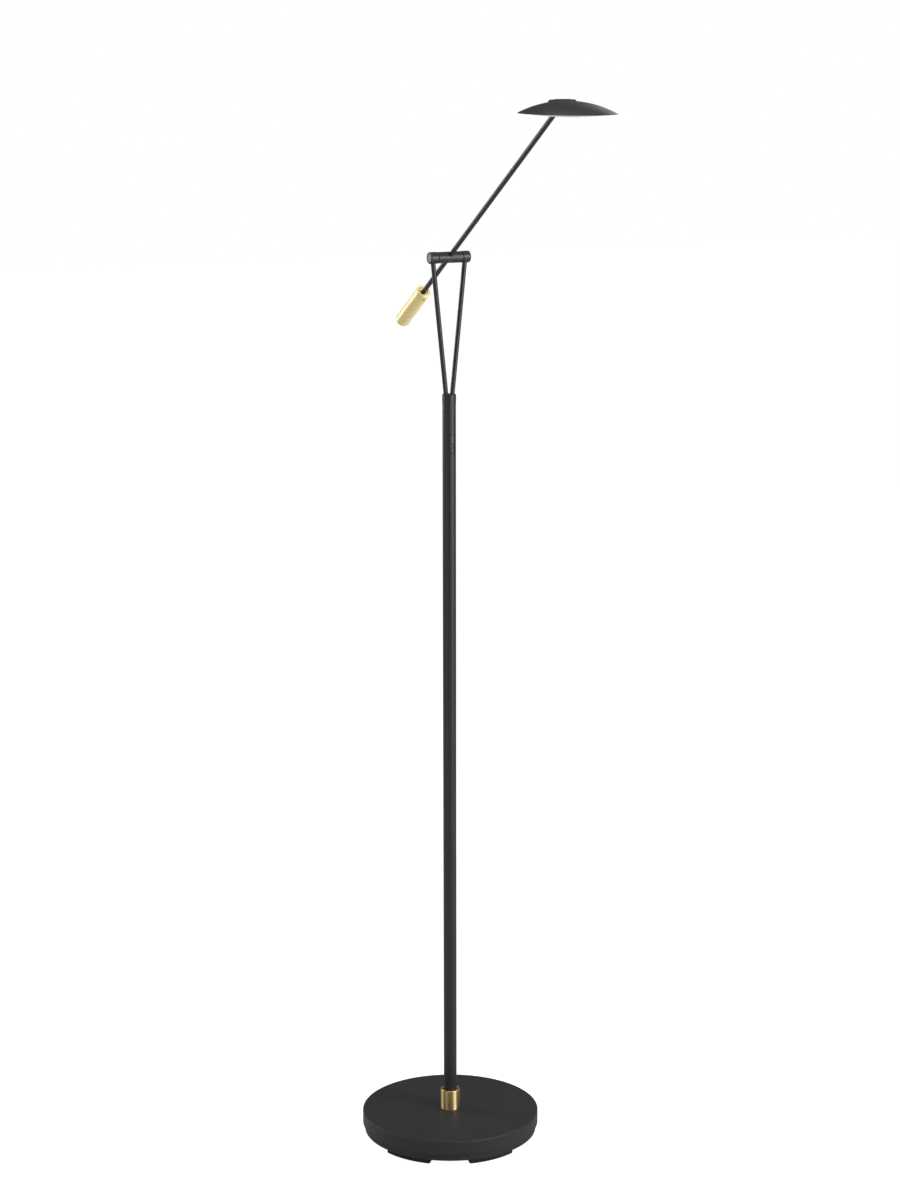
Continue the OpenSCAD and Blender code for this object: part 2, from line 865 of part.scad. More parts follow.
module hub_screw()
    color(steel)
        at_arm()
            rotate([180, 0, 0])
                translate([0, 0, arm_r + 0.02])
                    grub_screw(set_screw_r, barrel_d / 2 - arm_r - screw_sink);

module arm_tube()
    color(black_coat)
        at_arm()
            difference() {
                y_rod(arm_r, -arm_front - arm_nose, weight_start + weight_grip);
                y_rod(arm_in_r, -arm_front - arm_nose - cut, weight_start + weight_grip + cut);
                x_rod(side_hole_r, -arm_d, 0);
            }

module arm_lead()
    color(copper)
        at_arm()
            lead([
                [-trunnion_x1 + 0.3, 0, 0],
                [0, 0, 0],
                [0, -arm_front - knuckle_r + 0.4, 0]
            ], arm_lead_d);

module counterweight()
    color(brass_satin)
        at_arm()
            difference() {
                rotate([-90, 0, 0])
                    bevel_disc(weight_d / 2, weight_start, weight_start + weight_len, 0.6);
                y_rod(arm_r + seat_gap, weight_start - cut, weight_start + weight_grip + 0.5);
                y_rod(weight_recess_d / 2, weight_start - cut, weight_start + weight_recess_h);
                translate([0, weight_start + weight_screw_at, 0])
                    z_rod(set_screw_r + seat_gap, -weight_d, 0);
            }

module counterweight_screw()
    color(steel)
        at_arm()
            translate([0, weight_start + weight_screw_at, -arm_r - 0.02])
                rotate([180, 0, 0])
                    grub_screw(set_screw_r, weight_d / 2 - arm_r - screw_sink);

module head_knuckle()
    color(black_coat)
        at_arm()
            translate([0, -arm_front, 0])
                difference() {
                    x_bevel_disc(knuckle_r, -knuckle_len / 2, knuckle_len / 2, 0.4);
                    y_rod(arm_r + seat_gap, -arm_nose, knuckle_d);
                    y_rod(lead_bore_r, -knuckle_d, 0);
                    for (side = [-1, 1])
                        on_side(side)
                            x_rod(pin_r + run_gap, knuckle_len / 2 - pin_depth - 0.3, knuckle_len);
                }

// ---------- Head ----------

// The opening that the arm swings in; its far end is at y = back
module arm_slot(back)
    translate([-slot_half_w, slot_front, rim_z - 2 * diffuser_bulge])
        cube([2 * slot_half_w, back - slot_front, 2 * diffuser_bulge + pivot_h + cut]);

// The shade's own axis
module at_shade()
    translate([0, -pivot_back, 0])
        children();

module at_bosses()
    at_shade()
        for (turn = boss_turns)
            rotate([0, 0, turn])
                translate([boss_at, 0, carrier_z1])
                    children();

module at_blocks()
    for (side = [-1, 1])
        translate([side * (block_x0 + block_len / 2), 0, carrier_z1])
            children();

module dome(r)
    at_shade()
        intersection() {
            translate([0, 0, dome_z])
                sphere(r = r, $fn = 192);
            z_rod(shade_d, rim_z, rim_z + 2 * shade_h);
        }

module shade()
    color(black_coat)
        at_head()
            difference() {
                union() {
                    difference() {
                        dome(dome_r);
                        at_shade()
                            translate([0, 0, dome_z])
                                sphere(r = dome_r - shade_t, $fn = 192);
                    }
                    intersection() {
                        dome(dome_r - shade_t / 2);
                        at_bosses()
                            z_rod(boss_r, 0, shade_h);
                    }
                }
                translate([-block_x1 - 0.4, -knuckle_r - 0.5, carrier_z1])
                    cube([2 * block_x1 + 0.8, knuckle_d + 1, shade_h]);
                at_bosses()
                    z_rod(small_screw_r + seat_gap, -cut, 3.2);
            }

module shade_screws()
    color(zinc)
        at_head()
            at_bosses()
                translate([0, 0, -carrier_t])
                    seat_screw(small_screw_r, carrier_t + 3, small_head_r, small_head_h);

module led_carrier()
    color(aluminium)
        at_head()
            difference() {
                at_shade()
                    z_rod(carrier_r, carrier_z0, carrier_z1);
                arm_slot(carrier_r);
                at_bosses()
                    z_rod(small_screw_r + seat_gap, -carrier_t - cut, cut);
                at_blocks()
                    z_rod(small_screw_r + seat_gap, -carrier_t - cut, cut);
            }

module led_board()
    color(board_white)
        at_head()
            difference() {
                at_shade()
                    z_rod(board_r, board_z0, carrier_z0);
                arm_slot(carrier_r);
                at_bosses()
                    z_rod(head_hole_r, -carrier_t - board_t - cut, cut);
                at_blocks()
                    z_rod(head_hole_r, -carrier_t - board_t - cut, cut);
            }

// One ring of LEDs; those over the arm's slot are left out
module led_ring(r, count)
    for (i = [0 : count - 1]) {
        turn = (i + 0.5) * 360 / count;
        clear = abs(r * cos(turn)) > slot_half_w + led_w || r * sin(turn) < 0;
        if (clear)
            rotate([0, 0, turn])
                translate([r - led_l / 2, -led_w / 2, board_z0 - led_h])
                    cube([led_l, led_w, led_h]);
    }

module led_chips()
    color(led_yellow)
        at_head()
            at_shade() {
                led_ring(led_outer_ring, 24);
                led_ring(led_inner_ring, 14);
            }

module diffuser()
    color(opal)
        at_head()
            difference() {
                at_shade()
                    union() {
                        rotate_extrude()
                            intersection() {
                                translate([0, bulge_z])
                                    difference() {
                                        circle(r = bulge_r, $fn = 1440);
                                        circle(r = bulge_r - diffuser_t, $fn = 1440);
                                    }
                                translate([0, rim_z - diffuser_bulge - cut])
                                    square([diffuser_r, diffuser_bulge + cut]);
                            }
                        ring(diffuser_r, diffuser_r - diffuser_t, rim_z - 0.2, rim_z + clip_rim_h);
                    }
                arm_slot(slot_back);
            }

module pivot_block(side)
    color(black_coat)
        at_head()
            difference() {
                on_side(side)
                    union() {
                        x_bevel_disc(knuckle_r, block_x0, block_x1, 0.4);
                        translate([block_x0, -knuckle_r + 0.4, carrier_z1])
                            cube([block_len, knuckle_d - 0.8, -carrier_z1]);
                    }
                on_side(side)
                    x_rod(pin_r + seat_gap, 0, 2 * block_x1);
                at_blocks()
                    z_rod(small_screw_r + seat_gap, -cut, -carrier_z1 - pin_r - 0.8);
            }

module block_screws()
    color(zinc)
        at_head()
            at_blocks()
                translate([0, 0, -carrier_t])
                    seat_screw(small_screw_r, carrier_t - carrier_z1 - pin_r - 1, small_head_r, small_head_h);

module pivot_pins()
    color(steel)
        at_head()
            for (side = [-1, 1])
                on_side(side)
                    difference() {
                        x_rod(pin_r, knuckle_len / 2 - pin_depth, block_x1 - 0.2);
                        translate([block_x1 - 0.9, -0.3, -2 * pin_r])
                            cube([2, 0.6, 4 * pin_r]);
                    }

module pivot_washers()
    color(zinc)
        at_head()
            for (side = [-1, 1])
                on_side(side)
                    x_ring(knuckle_r - 0.6, pin_r + 0.1, knuckle_len / 2 + end_gap,
                        knuckle_len / 2 + end_gap + washer_gap);

// ---------- The pieces ----------

base_feet();
base_weight();
base_shell();
bottom_cover();
bottom_screws();
cable_grommet();
led_driver();
base_washer();
base_nut();
pole_insert();
pole_tube();
pole_collar();
collar_screw();
pole_bush();
stop_screw();
switch_bezel();
switch_body();
rocker_pin();
pole_lead();
rocker_button();
fork_cap();
spigot_clip();
fork_rod(-1);  // fork_rod_left
fork_rod(1);  // fork_rod_right
hub_collar(-1);  // hub_collar_left
hub_collar(1);  // hub_collar_right
hub_bush(-1);  // hub_bush_left
hub_bush(1);  // hub_bush_right
hub_cap(-1);  // hub_cap_left
hub_cap(1);  // hub_cap_right
fork_lead();
hub_barrel();
hub_springs();
hub_clips();
hub_screw();
arm_tube();
arm_lead();
counterweight();
counterweight_screw();
head_knuckle();
shade();
shade_screws();
led_carrier();
led_board();
led_chips();
diffuser();
pivot_block(-1);  // pivot_block_left
pivot_block(1);  // pivot_block_right
block_screws();
pivot_pins();
pivot_washers();
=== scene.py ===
# Counterbalanced reading floor lamp: detailed pieces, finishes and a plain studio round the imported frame.
# Shapes are worked out in millimetres and placed in metres.
import json
import math
import bmesh
import bpy
from mathutils import Matrix, Vector


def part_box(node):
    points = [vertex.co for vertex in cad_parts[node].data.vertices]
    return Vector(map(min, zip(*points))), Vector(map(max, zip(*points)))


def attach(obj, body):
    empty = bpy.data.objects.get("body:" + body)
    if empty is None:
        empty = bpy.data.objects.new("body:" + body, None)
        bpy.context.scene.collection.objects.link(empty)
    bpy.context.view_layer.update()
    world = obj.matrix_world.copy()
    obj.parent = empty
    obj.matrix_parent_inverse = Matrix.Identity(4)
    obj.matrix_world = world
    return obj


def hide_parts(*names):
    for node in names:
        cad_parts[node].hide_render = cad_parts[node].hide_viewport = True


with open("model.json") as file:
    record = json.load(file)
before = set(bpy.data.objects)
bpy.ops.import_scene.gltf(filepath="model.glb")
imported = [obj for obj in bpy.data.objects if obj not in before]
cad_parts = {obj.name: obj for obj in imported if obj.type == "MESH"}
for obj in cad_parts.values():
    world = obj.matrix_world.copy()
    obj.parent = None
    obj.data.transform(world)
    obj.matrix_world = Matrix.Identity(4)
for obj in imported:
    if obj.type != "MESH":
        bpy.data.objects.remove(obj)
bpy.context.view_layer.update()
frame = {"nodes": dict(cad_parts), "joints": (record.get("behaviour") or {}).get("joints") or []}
scene = bpy.context.scene
joints = {joint["name"]: joint for joint in frame["joints"]}
toMetres = Matrix.Scale(0.001, 4)
print("frame loaded:", len(frame["nodes"]), "nodes")

# ---- camera

cameraSet = {
    "turn": -28.84,  # degrees round the lamp; 0 is straight in front
    "pan": -0.012,  # degrees off the pole's axis
    "distance": 3.286,
    "height": 1.3925,
    "pitch": 11.609,  # degrees below level
    "roll": -0.094,
    "lens": 79.48,
}


def makeCamera():
    turn = math.radians(cameraSet["turn"])
    data = bpy.data.cameras.new("mainCamera")
    data.lens = cameraSet["lens"]
    data.sensor_width = 36
    camera = bpy.data.objects.new("mainCamera", data)
    distance = cameraSet["distance"]
    place = Matrix.Translation((distance * math.sin(turn), -distance * math.cos(turn), cameraSet["height"]))
    aim = Matrix.Rotation(turn + math.radians(cameraSet["pan"]), 4, "Z")
    level = aim @ Matrix.Rotation(math.radians(90 - cameraSet["pitch"]), 4, "X")
    camera.matrix_world = place @ level @ Matrix.Rotation(math.radians(cameraSet["roll"]), 4, "Z")
    scene.collection.objects.link(camera)
    scene.camera = camera


makeCamera()
print("camera placed")

# ---- places of the moving groups, each with its own axes


def tiltOf(node):
    flat = max(frame["nodes"][node].data.polygons, key=lambda face: face.area)
    normal = flat.normal * (1 if flat.normal.z > 0 else -1)
    return math.atan2(-normal.y, normal.z)


hubPoint = Vector(joints["arm_tilt"]["pos_m"])
headPoint = Vector(joints["head_tilt"]["pos_m"])
rockerPoint = Vector(joints["dimmer_rocker"]["pos_m"])
armRun = headPoint - hubPoint
armRise = math.atan2(armRun.z, -armRun.y)
headTilt = tiltOf("led_carrier")
standPlace = Matrix.Identity(4)
hubPlace = Matrix.Translation(hubPoint)
armPlace = hubPlace @ Matrix.Rotation(-armRise, 4, "X")
headPlace = Matrix.Translation(headPoint) @ Matrix.Rotation(headTilt, 4, "X")
switchPlace = Matrix.Translation((0, 0, rockerPoint.z))
alongX = Matrix.Rotation(math.pi / 2, 4, "Y")
alongY = Matrix.Rotation(-math.pi / 2, 4, "X")
mirrorX = Matrix.Scale(-1, 4, (1, 0, 0))


def localBox(node, place):
    # lowest and highest corner of a frame node in a place's own axes, in millimetres
    back = toMetres.inverted() @ place.inverted()
    points = [back @ vertex.co for vertex in frame["nodes"][node].data.vertices]
    low = Vector([min(point[i] for point in points) for i in range(3)])
    high = Vector([max(point[i] for point in points) for i in range(3)])
    return low, high


def tubeEnds(node):
    # centres of the lower and upper end of a straight upright tube, in metres
    low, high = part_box(node)
    middle = (low.z + high.z) / 2
    ends = []
    for side in (-1, 1):
        points = [v.co for v in frame["nodes"][node].data.vertices if (v.co.z - middle) * side > 0]
        ends.append(Vector([(min(p[i] for p in points) + max(p[i] for p in points)) / 2 for i in range(3)]))
    return ends


def reachOf(point):
    return math.hypot(point.x, point.y)


def middleOf(node, place):
    low, high = localBox(node, place)
    return (low + high) / 2


# ---- mesh helpers

fitGap = 0.05  # between pieces that fit together
past = 5  # how far a cutter runs past what it cuts


def roundCorners(corners, steps=5):
    # each corner is (across, along, radius); the outline comes back with its arcs
    outline = []
    for i, (across, along, radius) in enumerate(corners):
        here = Vector((across, along))
        if radius <= 0:
            outline.append(here)
            continue
        before = (Vector(corners[i - 1][:2]) - here).normalized()
        after = (Vector(corners[(i + 1) % len(corners)][:2]) - here).normalized()
        half = before.angle(after) / 2
        centre = here + (before + after).normalized() * radius / math.sin(half)
        start = here + before * radius / math.tan(half) - centre
        end = here + after * radius / math.tan(half) - centre
        first = math.atan2(start.y, start.x)
        sweep = (math.atan2(end.y, end.x) - first + math.pi) % (2 * math.pi) - math.pi
        for k in range(steps + 1):
            turn = first + sweep * k / steps
            outline.append(centre + Vector((math.cos(turn), math.sin(turn))) * radius)
    return outline


def arc(across, along, radius, first, last, steps):
    turns = [math.radians(first + (last - first) * k / steps) for k in range(steps + 1)]
    return [Vector((across + radius * math.cos(t), along + radius * math.sin(t))) for t in turns]


def finishShading(obj, sharp=35):
    obj.data.shade_smooth()
    obj.data.set_sharp_from_angle(angle=math.radians(sharp))


def link(name, mesh):
    obj = bpy.data.objects.new(name, mesh)
    scene.collection.objects.link(obj)
    return obj


def keepBuild(name, build):
    # closes a build into a linked object, its normals outward
    bmesh.ops.recalc_face_normals(build, faces=build.faces)
    mesh = bpy.data.meshes.new(name)
    build.to_mesh(mesh)
    build.free()
    return link(name, mesh)


def lathe(name, outline, steps=96):
    # turns a closed outline of (radius, height) about Z; u of the map runs round the axis
    build = bmesh.new()
    uvs = build.loops.layers.uv.new("turned")
    turns = [2 * math.pi * k / steps for k in range(steps)]
    rings = []
    for radius, height in outline:
        if radius < 1e-6:
            rings.append([build.verts.new((0, 0, height))] * steps)
        else:
            points = [(radius * math.cos(t), radius * math.sin(t), height) for t in turns]
            rings.append([build.verts.new(point) for point in points])
    travel = [0.0]
    for before, after in zip(outline, outline[1:]):
        travel.append(travel[-1] + (Vector(after) - Vector(before)).length)
    for i in range(len(rings)):
        for k in range(steps):
            ring, other = rings[i], rings[i - 1]
            corners = {ring[k]: (k, i), ring[k - 1]: (k - 1, i),
                       other[k - 1]: (k - 1, i - 1), other[k]: (k, i - 1)}
            if len(corners) < 3:
                continue
            face = build.faces.new(list(corners))
            for loop in face.loops:
                column, row = corners[loop.vert]
                loop[uvs].uv = (column / steps, travel[row] / 100)
    return keepBuild(name, build)


def slab(name, outline, low, high):
    # extrudes a closed flat outline along Z
    build = bmesh.new()
    bottom = [build.verts.new((x, y, low)) for x, y in outline]
    top = [build.verts.new((x, y, high)) for x, y in outline]
    build.faces.new(bottom)
    build.faces.new(top)
    for i in range(len(outline)):
        build.faces.new([bottom[i - 1], bottom[i], top[i], top[i - 1]])
    return keepBuild(name, build)


def loft(name, sections):
    # skins closed rings of points, one after the other, and closes both ends
    build = bmesh.new()
    rings = [[build.verts.new(point) for point in section] for section in sections]
    for before, after in zip(rings, rings[1:]):
        for i in range(len(before)):
            build.faces.new([before[i - 1], before[i], after[i], after[i - 1]])
    build.faces.new(rings[0])
    build.faces.new(rings[-1])
    return keepBuild(name, build)


def rectangle(left, right, low, high, radius=0.0):
    return roundCorners([(left, low, radius), (right, low, radius),
                         (right, high, radius), (left, high, radius)])


def rod(name, radius, low, high, place=standPlace, steps=48):
    # a plain cutter
    obj = lathe(name, [(0, low), (radius, low), (radius, high), (0, high)], steps)
    obj.data.transform(place)
    return obj


def settle(obj):
    # keeps what the modifiers make as a plain mesh
    graph = bpy.context.evaluated_depsgraph_get()
    mesh = bpy.data.meshes.new_from_object(obj.evaluated_get(graph), preserve_all_data_layers=True,
                                           depsgraph=graph)
    obj.modifiers.clear()
    old = obj.data
    obj.data = mesh
    bpy.data.meshes.remove(old)
    return obj


def cutAway(obj, *cutters):
    for cutter in cutters:
        cut = obj.modifiers.new("cut", "BOOLEAN")
        cut.operation = "DIFFERENCE"
        cut.solver = "EXACT"
        cut.object = cutter
    settle(obj)
    for cutter in cutters:
        bpy.data.objects.remove(cutter)
    return obj


def soften(obj, width, segments=2, angle=40):
    bevel = obj.modifiers.new("soften", "BEVEL")
    bevel.width = width
    bevel.segments = segments
    bevel.limit_method = "ANGLE"
    bevel.angle_limit = math.radians(angle)
    return settle(obj)


def finishPiece(obj, body, finish, replaced, place=standPlace, sharp=35):
    # from millimetres into the frame, with its finish, body and the nodes that it stands for
    obj.data.transform(place @ toMetres)
    if (place @ toMetres).determinant() < 0:
        obj.data.flip_normals()
    finishShading(obj, sharp)
    weighted = obj.modifiers.new("weighted", "WEIGHTED_NORMAL")
    weighted.keep_sharp = True
    settle(obj)
    obj.data.materials.clear()
    obj.data.materials.append(finishes[finish])
    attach(obj, body)
    if replaced:
        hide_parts(*replaced)
    return obj


# ---- node helpers


def addNode(tree, kind, inputs=None, **settings):
    node = tree.nodes.new(kind)
    for key, value in settings.items():
        setattr(node, key, value)
    for key, value in (inputs or {}).items():
        if isinstance(value, bpy.types.NodeSocket):
            tree.links.new(value, node.inputs[key])
        else:
            node.inputs[key].default_value = value
    return node


def calc(tree, operation, first, second=0.0, third=0.0):
    return addNode(tree, "ShaderNodeMath", {0: first, 1: second, 2: third}, operation=operation).outputs[0]


def newGroup(name, inputs, outputs, kind="ShaderNodeTree"):
    # inputs are {name: (socket type, value)}, outputs {name: socket type}
    group = bpy.data.node_groups.new(name, kind)
    for label, (socketType, value) in inputs.items():
        socket = group.interface.new_socket(label, in_out="INPUT", socket_type=socketType)
        if value is not None:
            socket.default_value = value
    for label, socketType in outputs.items():
        group.interface.new_socket(label, in_out="OUTPUT", socket_type=socketType)
    return group, addNode(group, "NodeGroupInput").outputs, addNode(group, "NodeGroupOutput").inputs


floatKind = "NodeSocketFloat"
vectorKind = "NodeSocketVector"


# ---- effects that several finishes share


def makeCoatGrain():
    # the fine pebbled skin of a powder coat: height for bump, and slow mottling
    group, given, result = newGroup(
        "coatGrain",
        {"Vector": (vectorKind, (0, 0, 0)), "Grain": (floatKind, 2600.0), "Mottle": (floatKind, 14.0)},
        {"Height": floatKind, "Mottling": floatKind},
    )
    fine = addNode(group, "ShaderNodeTexNoise", {
        "Vector": given["Vector"], "Scale": given["Grain"], "Detail": 3.0, "Roughness": 0.6})
    cells = calc(group, "MULTIPLY", given["Grain"], 0.45)
    peel = addNode(group, "ShaderNodeTexVoronoi", {"Vector": given["Vector"], "Scale": cells},
                   feature="SMOOTH_F1")
    slow = addNode(group, "ShaderNodeTexNoise", {
        "Vector": given["Vector"], "Scale": given["Mottle"], "Detail": 4.0, "Roughness": 0.55})
    height = calc(group, "MULTIPLY_ADD", peel.outputs["Distance"], 0.6, fine.outputs["Fac"])
    group.links.new(height, result["Height"])
    group.links.new(slow.outputs["Fac"], result["Mottling"])
    return group


def makeEdgeWear():
    # a mask of the edges, broken up by noise
    group, given, result = newGroup(
        "edgeWear",
        {"Vector": (vectorKind, (0, 0, 0)), "Width": (floatKind, 0.0006), "Amount": (floatKind, 0.5)},
        {"Mask": floatKind},
    )
    rounded = addNode(group, "ShaderNodeBevel", {"Radius": given["Width"]}, samples=4)
    plain = addNode(group, "ShaderNodeNewGeometry")
    match = addNode(group, "ShaderNodeVectorMath", {0: rounded.outputs[0], 1: plain.outputs["Normal"]},
                    operation="DOT_PRODUCT")
    edge = addNode(group, "ShaderNodeMapRange", {"Value": match.outputs["Value"], "From Min": 0.995,
                                                 "From Max": 0.86, "To Min": 0.0, "To Max": 1.0})
    patches = addNode(group, "ShaderNodeTexNoise", {"Vector": given["Vector"], "Scale": 320.0, "Detail": 5.0})
    broken = addNode(group, "ShaderNodeMapRange", {"Value": patches.outputs["Fac"], "From Min": 0.4,
                                                   "From Max": 0.65, "To Min": 0.0, "To Max": 1.0})
    mask = calc(group, "MULTIPLY", edge.outputs[0], broken.outputs[0])
    group.links.new(calc(group, "MULTIPLY", mask, given["Amount"]), result["Mask"])
    return group


def makeDust():
    # a film on what faces up, with a few specks in it
    group, given, result = newGroup(
        "dust",
        {"Vector": (vectorKind, (0, 0, 0)), "Film": (floatKind, 0.1), "Specks": (floatKind, 0.5)},
        {"Mask": floatKind},
    )
    facing = addNode(group, "ShaderNodeSeparateXYZ",
                     {0: addNode(group, "ShaderNodeNewGeometry").outputs["Normal"]})
    up = addNode(group, "ShaderNodeMapRange", {
        "Value": facing.outputs["Z"], "From Min": 0.3, "From Max": 0.95})
    clouds = addNode(group, "ShaderNodeTexNoise", {"Vector": given["Vector"], "Scale": 22.0, "Detail": 6.0})
    film = calc(group, "MULTIPLY", calc(group, "MULTIPLY", clouds.outputs["Fac"], given["Film"]),
                up.outputs[0])
    cells = addNode(group, "ShaderNodeTexVoronoi", {"Vector": given["Vector"], "Scale": 34.0})
    chosen = addNode(group, "ShaderNodeSeparateColor", {0: cells.outputs["Color"]})
    rare = calc(group, "GREATER_THAN", chosen.outputs[0], 0.93)
    small = calc(group, "LESS_THAN", cells.outputs["Distance"], 0.016)
    specks = calc(group, "MULTIPLY", calc(group, "MULTIPLY", rare, small),
                  calc(group, "MULTIPLY", given["Specks"], up.outputs[0]))
    group.links.new(calc(group, "MAXIMUM", film, specks), result["Mask"])
    return group


def makeLines():
    # fine parallel lines across Z of the vector given: turning or brushing marks
    group, given, result = newGroup(
        "fineLines",
        {"Vector": (vectorKind, (0, 0, 0)), "Lines": (floatKind, 9000.0), "Length": (floatKind, 60.0)},
        {"Height": floatKind, "Streaks": floatKind},
    )
    parts = addNode(group, "ShaderNodeSeparateXYZ", {0: given["Vector"]})
    layers = []
    for share in (1.0, 0.23):
        stretched = addNode(group, "ShaderNodeCombineXYZ", {
            0: calc(group, "MULTIPLY", parts.outputs[0], given["Length"]),
            1: calc(group, "MULTIPLY", parts.outputs[1], given["Length"]),
            2: calc(group, "MULTIPLY", parts.outputs[2], calc(group, "MULTIPLY", given["Lines"], share))})
        layers.append(addNode(group, "ShaderNodeTexNoise", {
            "Vector": stretched.outputs[0], "Scale": 1.0, "Detail": 2.0}).outputs["Fac"])
    group.links.new(layers[0], result["Height"])
    group.links.new(calc(group, "MULTIPLY_ADD", layers[0], 0.5, calc(group, "MULTIPLY", layers[1], 0.5)),
                    result["Streaks"])
    return group


def makeSmudge():
    # touch marks and a faint uneven tarnish
    group, given, result = newGroup(
        "smudge",
        {"Vector": (vectorKind, (0, 0, 0)), "Size": (floatKind, 60.0)},
        {"Marks": floatKind},
    )
    wide = addNode(group, "ShaderNodeTexNoise", {
        "Vector": given["Vector"], "Scale": given["Size"], "Detail": 6.0, "Distortion": 0.8})
    spread = addNode(group, "ShaderNodeMapRange", {"Value": wide.outputs["Fac"], "From Min": 0.42,
                                                   "From Max": 0.72})
    group.links.new(spread.outputs[0], result["Marks"])
    return group


effects = {
    "coatGrain": makeCoatGrain(),
    "edgeWear": makeEdgeWear(),
    "dust": makeDust(),
    "fineLines": makeLines(),
    "smudge": makeSmudge(),
}
print("shared effects made")

# ---- finishes


def startFinish(name, place=standPlace, **shader):
    # a material with its Principled shader and its own coordinates, turned to the piece's axes
    material = bpy.data.materials.new(name)
    material.use_nodes = True
    tree = material.node_tree
    tree.nodes.clear()
    output = addNode(tree, "ShaderNodeOutputMaterial")
    principled = addNode(tree, "ShaderNodeBsdfPrincipled")
    tree.links.new(principled.outputs[0], output.inputs[0])
    for key, value in shader.items():
        principled.inputs[shaderNames[key]].default_value = value
    coordinates = addNode(tree, "ShaderNodeTexCoord")
    back = place.inverted()
    mapping = addNode(tree, "ShaderNodeMapping", {
        "Vector": coordinates.outputs["Object"],
        "Location": back.to_translation(),
        "Rotation": back.to_euler()})
    return material, tree, principled, mapping.outputs[0]


shaderNames = {
    "metal": "Metallic", "rough": "Roughness", "specular": "Specular IOR Level", "coat": "Coat Weight",
    "coatRough": "Coat Roughness", "turned": "Anisotropic", "turnedAcross": "Anisotropic Rotation",
    "inner": "Subsurface Weight", "innerDepth": "Subsurface Scale", "sheen": "Sheen Weight",
}


def useEffect(tree, name, vector, **inputs):
    node = addNode(tree, "ShaderNodeGroup", node_tree=effects[name])
    tree.links.new(vector, node.inputs["Vector"])
    for key, value in inputs.items():
        node.inputs[key].default_value = value
    return node.outputs


def mixColours(tree, share, first, second):
    return addNode(tree, "ShaderNodeMix", {0: share, 6: first, 7: second}, data_type="RGBA").outputs[2]


def spread(tree, value, low, high, fromLow=0.3, fromHigh=0.7):
    return addNode(tree, "ShaderNodeMapRange", {"Value": value, "From Min": fromLow, "From Max": fromHigh,
                                                "To Min": low, "To Max": high}).outputs[0]


def bump(tree, height, depth):
    return addNode(tree, "ShaderNodeBump", {"Height": height, "Distance": depth, "Strength": 1.0}).outputs[0]


def colour(red, green, blue):
    return (red, green, blue, 1.0)


def makeCoat(name, settings):
    # powder coat: pebbled, matt, a little polished and greyed on its edges, a little dust on top
    material, tree, shader, vector = startFinish(name, rough=0.5, specular=settings["specular"])
    grain = useEffect(tree, "coatGrain", vector, Grain=settings["grain"])
    wear = useEffect(tree, "edgeWear", vector, Amount=settings["wear"])
    dust = useEffect(tree, "dust", vector, Film=settings["film"], Specks=settings["specks"])
    base = mixColours(tree, grain["Mottling"], settings["dark"], settings["light"])
    worn = mixColours(tree, wear["Mask"], base, settings["worn"])
    dusty = mixColours(tree, dust["Mask"], worn, settings["dustColour"])
    tree.links.new(dusty, shader.inputs["Base Color"])
    rough = spread(tree, grain["Mottling"], settings["rough"] - 0.05, settings["rough"] + 0.05)
    polished = calc(tree, "MULTIPLY_ADD", wear["Mask"], -0.12, rough)
    tree.links.new(calc(tree, "MULTIPLY_ADD", dust["Mask"], 0.3, polished), shader.inputs["Roughness"])
    tree.links.new(bump(tree, grain["Height"], settings["depth"]), shader.inputs["Normal"])
    return material


blackCoatSet = {
    "dark": colour(0.0132, 0.0128, 0.0160), "light": colour(0.0160, 0.0156, 0.0190),
    "worn": colour(0.045, 0.045, 0.048), "dustColour": colour(0.30, 0.29, 0.28),
    "rough": 0.40, "specular": 0.45, "grain": 2600.0, "depth": 0.000010, "wear": 0.25,
    "film": 0.008, "specks": 0.6,
}
shadeCoatSet = dict(blackCoatSet, specks=0.25, rough=0.46)
baseCoatSet = dict(blackCoatSet, rough=0.56)
ironSet = dict(blackCoatSet, dark=colour(0.010, 0.010, 0.011), light=colour(0.017, 0.017, 0.018),
               grain=900.0, depth=0.00012, rough=0.62, film=0.01, specks=0.0, wear=0.5)


def makeTurnedMetal(name, place, settings):
    # turned or brushed metal: fine lines, streaks in tone, touch marks
    material, tree, shader, vector = startFinish(
        name, place, metal=1.0, turned=settings["turned"], turnedAcross=0.25)
    lines = useEffect(tree, "fineLines", vector, Lines=settings["lines"], Length=settings["length"])
    marks = useEffect(tree, "smudge", vector, Size=settings["marks"])
    wear = useEffect(tree, "edgeWear", vector, Amount=settings["wear"])
    tone = mixColours(tree, lines["Streaks"], settings["dark"], settings["light"])
    touched = mixColours(tree, calc(tree, "MULTIPLY", marks["Marks"], settings["tarnish"]), tone,
                         settings["tarnished"])
    tree.links.new(mixColours(tree, wear["Mask"], touched, settings["worn"]), shader.inputs["Base Color"])
    rough = spread(tree, lines["Streaks"], settings["rough"] - settings["vary"],
                   settings["rough"] + settings["vary"])
    tree.links.new(calc(tree, "MULTIPLY_ADD", marks["Marks"], 0.06, rough), shader.inputs["Roughness"])
    tree.links.new(bump(tree, lines["Height"], settings["depth"]), shader.inputs["Normal"])
    tangent = addNode(tree, "ShaderNodeTangent", direction_type="UV_MAP", uv_map="turned")
    tree.links.new(tangent.outputs[0], shader.inputs["Tangent"])
    return material


